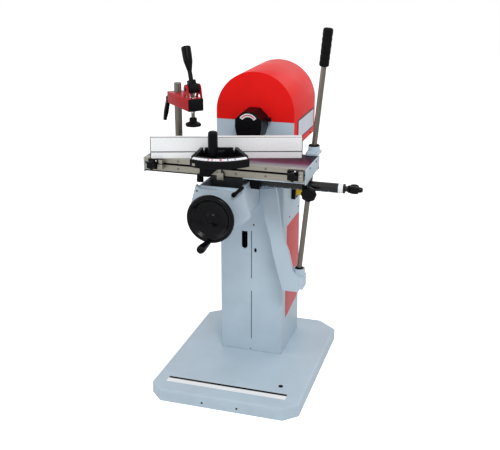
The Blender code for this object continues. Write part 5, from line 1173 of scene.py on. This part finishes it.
class MORTISER_OT_clamp(bpy.types.Operator):
    """Clamp with its post, arm, cam lever, spindle and lock lever."""

    bl_idname = "mortiser.clamp"
    bl_label = "Clamp"

    def execute(self, context):
        """Turn the post, then build the arm, the cam and the spindle."""
        post = ((0.0, ON_TABLE), (0.0147, ON_TABLE), (0.0147, 0.8650), (0.0125, 0.8668),
                (0.0125, 1.0770), (0.0105, 1.0788), (0.0045, 1.0790), (0.0, 1.0788))
        piece("clamp_post_ground", lathe(post, POST_FOOT, UP, 0.8 * MM, 64), "clamp_post", "steel",
              "bright_steel", ("clamp_post",))
        self.arm()
        self.cam(context.scene.mortiser_studio.soft_edge)
        self.spindle()
        softened("clamp_lock_lever", "black", "black_plastic", 1.6 * MM, 3)
        return {"FINISHED"}

    @staticmethod
    def arm():
        """Square tube with a notched ear on each side for the cam's pin, and its plugs."""
        along, across = turned_axes(ARM_TURN, SIDE_AXES), turned_axes(ARM_TURN, FRONT_AXES)
        half, low, high, ear_low, crown_radius, crown_height = 0.027, 1.005, 1.046, 1.0445, 0.0165, 1.0755
        t = np.linspace(0, np.pi, 24)
        crown = np.stack((SPINDLE_OUT + crown_radius * np.cos(t),
                          crown_height + crown_radius * np.sin(t)), 1)
        notch = ((0.1000, ear_low), (0.1140, ear_low), (0.1150, 1.0520), (0.1200, 1.0570),
                 (0.1300, 1.0570), (0.1350, 1.0520), (0.1360, ear_low))
        ear = np.concatenate((((0.1492, ear_low),), crown, notch))
        body = [slab(box_outline((-half, half), (low, high)), -0.0290, 0.1465, 1.2 * MM, POST_FOOT, along,
                     3 * MM)]
        body += [slab(ear, near, far, 0.9 * MM, POST_FOOT, across)
                 for near, far in ((0.0215, 0.0255), (-0.0255, -0.0215))]
        piece("clamp_arm_tube", body, "clamp_arm", "arm_red", "clamp_red", ("clamp_arm",))
        ease = 0.2 * MM
        mouth = box_outline((ease - half, half - ease), (low + ease, high - ease))
        plugs = [slab(mouth, near, far, 0.9 * MM, POST_FOOT, along, 2.5 * MM)
                 for near, far in ((0.1460, 0.1502), (-0.0300, -0.0285))]
        plugs.append(slab(box_outline((-0.0215, 0.0215), (1.0105, 1.0405)), 0.1495, 0.1507, 0.5 * MM,
                          POST_FOOT, along, 2.5 * MM))
        piece("arm_plugs", plugs, "clamp_arm", "black", "black_plastic")

    @staticmethod
    def cam(soft_edge):
        """Cam lever on its pin: the eased cam, a grip along the lean, a root block, two bolt heads."""
        hub, lean = along_arm(SPINDLE_OUT, 0, 1.076), np.radians(-20)
        side_way = np.array((-np.sin(ARM_TURN), np.cos(ARM_TURN), 0))
        out = np.array((np.cos(ARM_TURN), np.sin(ARM_TURN), 0))
        upright = out * np.sin(lean) + np.array(UP) * np.cos(lean)
        softened("cam_lever", "black_paint", "black_paint", soft_edge, 2)
        grip = ((0.0, 0.0600), (0.0078, 0.0600), (0.0088, 0.0640), (0.0120, 0.0780), (0.0148, 0.0900),
                (0.0157, 0.1000), (0.0164, 0.1350), (0.0150, 0.1405), (0.0080, 0.1420), (0.0, 0.1422))
        piece("cam_grip_turned", lathe(grip, hub, upright, 2.5 * MM, 64), "cam", "black",
              "black_plastic", ("cam_grip",))
        axes = np.stack((side_way, np.cross(upright, side_way), upright), 1)
        half_wide, half_deep = 0.0115, 0.0120
        root = slab(box_outline((-half_wide, half_wide), (-half_deep, half_deep)), 0.0100, 0.0290,
                    1.5 * MM, hub, axes, 2 * MM)
        piece("cam_root", root, "cam", "black_paint", "black_paint")
        boss, ear_face = ((0, 0), (0.0065, 0), (0.0065, 0.0016), (0.0045, 0.0024), (0, 0.0024)), 0.0256
        bosses = [lathe(boss, hub + way * ear_face, way, 0.6 * MM, 32) for way in (-side_way, side_way)]
        piece("ear_bolts", bosses, "clamp_arm", "dark_bolt", "black_paint")

    @staticmethod
    def spindle():
        """Bushes in the arm, the ground screw that the cam presses and its lobed rubber foot."""
        bore, at = 0.0066, along_arm(SPINDLE_OUT, 0, 0)
        upper = ((bore, 1.0462), (0.0105, 1.0462), (0.0105, 1.0476), (0.0098, 1.0484), (bore, 1.0484),
                 (bore, 1.0462))
        lower = ((bore, 1.0052), (0.0086, 1.0052), (0.0074, 0.9960), (bore, 0.9960), (bore, 1.0052))
        bushes = [lathe(upper, at, UP, 0.6 * MM, 40), lathe(lower, at, UP, 0.4 * MM, 40)]
        piece("arm_bushes", bushes, "clamp_arm", "bolt", "bright_steel")
        foot = ((0.0, 0.952), (0.0262, 0.952), (0.0275, 0.9552), (0.0270, 0.9600), (0.0190, 0.9640),
                (0.0135, 0.9665), (0.0125, 0.9680), (0.0130, 0.9760), (0.0118, 0.9790),
                (0.0075, 0.9812), (0.0, 0.9815))
        lobed = lathe(foot, at, UP, 1.6 * MM, 72, lobes=6, dip=2.0 * MM, from_radius=0.021)
        piece("clamp_foot", lobed, "clamp_spindle", "rubber", "rubber", ("clamp_spindle",))
        screw = ((0.0, 0.9800), (0.0058, 0.9800), (0.0060, 0.9820), (0.0060, 1.0570), (0.0090, 1.0580),
                 (0.0090, 1.0612), (0.0, 1.0614))
        piece("clamp_screw", lathe(screw, at, UP, 0.5 * MM, 40), "clamp_spindle", "steel", "bright_steel")


PIECE_OPERATORS = (MORTISER_OT_base, MORTISER_OT_column, MORTISER_OT_hood, MORTISER_OT_guard,
                   MORTISER_OT_switch, MORTISER_OT_knee, MORTISER_OT_handwheel, MORTISER_OT_lever,
                   MORTISER_OT_saddle, MORTISER_OT_index_bar, MORTISER_OT_table, MORTISER_OT_stops,
                   MORTISER_OT_mitre, MORTISER_OT_fence, MORTISER_OT_clamp)


class MORTISER_PT_panel(bpy.types.Panel):
    """Sidebar list of the machine's pieces."""

    bl_idname = "MORTISER_PT_panel"
    bl_label = "Slot Mortiser"
    bl_space_type = "VIEW_3D"
    bl_region_type = "UI"
    bl_category = "Mortiser"

    def draw(self, context):
        """Colours, studio sizes and one button for each group of pieces."""
        layout = self.layout
        for group in (context.scene.mortiser_paints, context.scene.mortiser_studio):
            for key in group.bl_rna.properties.keys():
                if key not in ("rna_type", "name"):
                    layout.prop(group, key)
        for operator in (MORTISER_OT_studio, MORTISER_OT_finishes) + PIECE_OPERATORS:
            layout.operator(operator.bl_idname)


CLASSES = (MortiserPaints, MortiserStudio, MORTISER_OT_studio, MORTISER_OT_finishes) + PIECE_OPERATORS + (
    MORTISER_PT_panel,)


def register():
    """Add the classes and the two groups of settings."""
    for item in CLASSES:
        bpy.utils.register_class(item)
    bpy.types.Scene.mortiser_paints = PointerProperty(type=MortiserPaints)
    bpy.types.Scene.mortiser_studio = PointerProperty(type=MortiserStudio)


def unregister():
    """Take them away again."""
    del bpy.types.Scene.mortiser_studio
    del bpy.types.Scene.mortiser_paints
    for item in reversed(CLASSES):
        bpy.utils.unregister_class(item)


def main():
    """Build the studio and every piece."""
    register()
    for operator in (MORTISER_OT_studio, MORTISER_OT_finishes) + PIECE_OPERATORS:
        group, action = operator.bl_idname.split(".")
        getattr(getattr(bpy.ops, group), action)()


if __name__ == "__main__":
    main()
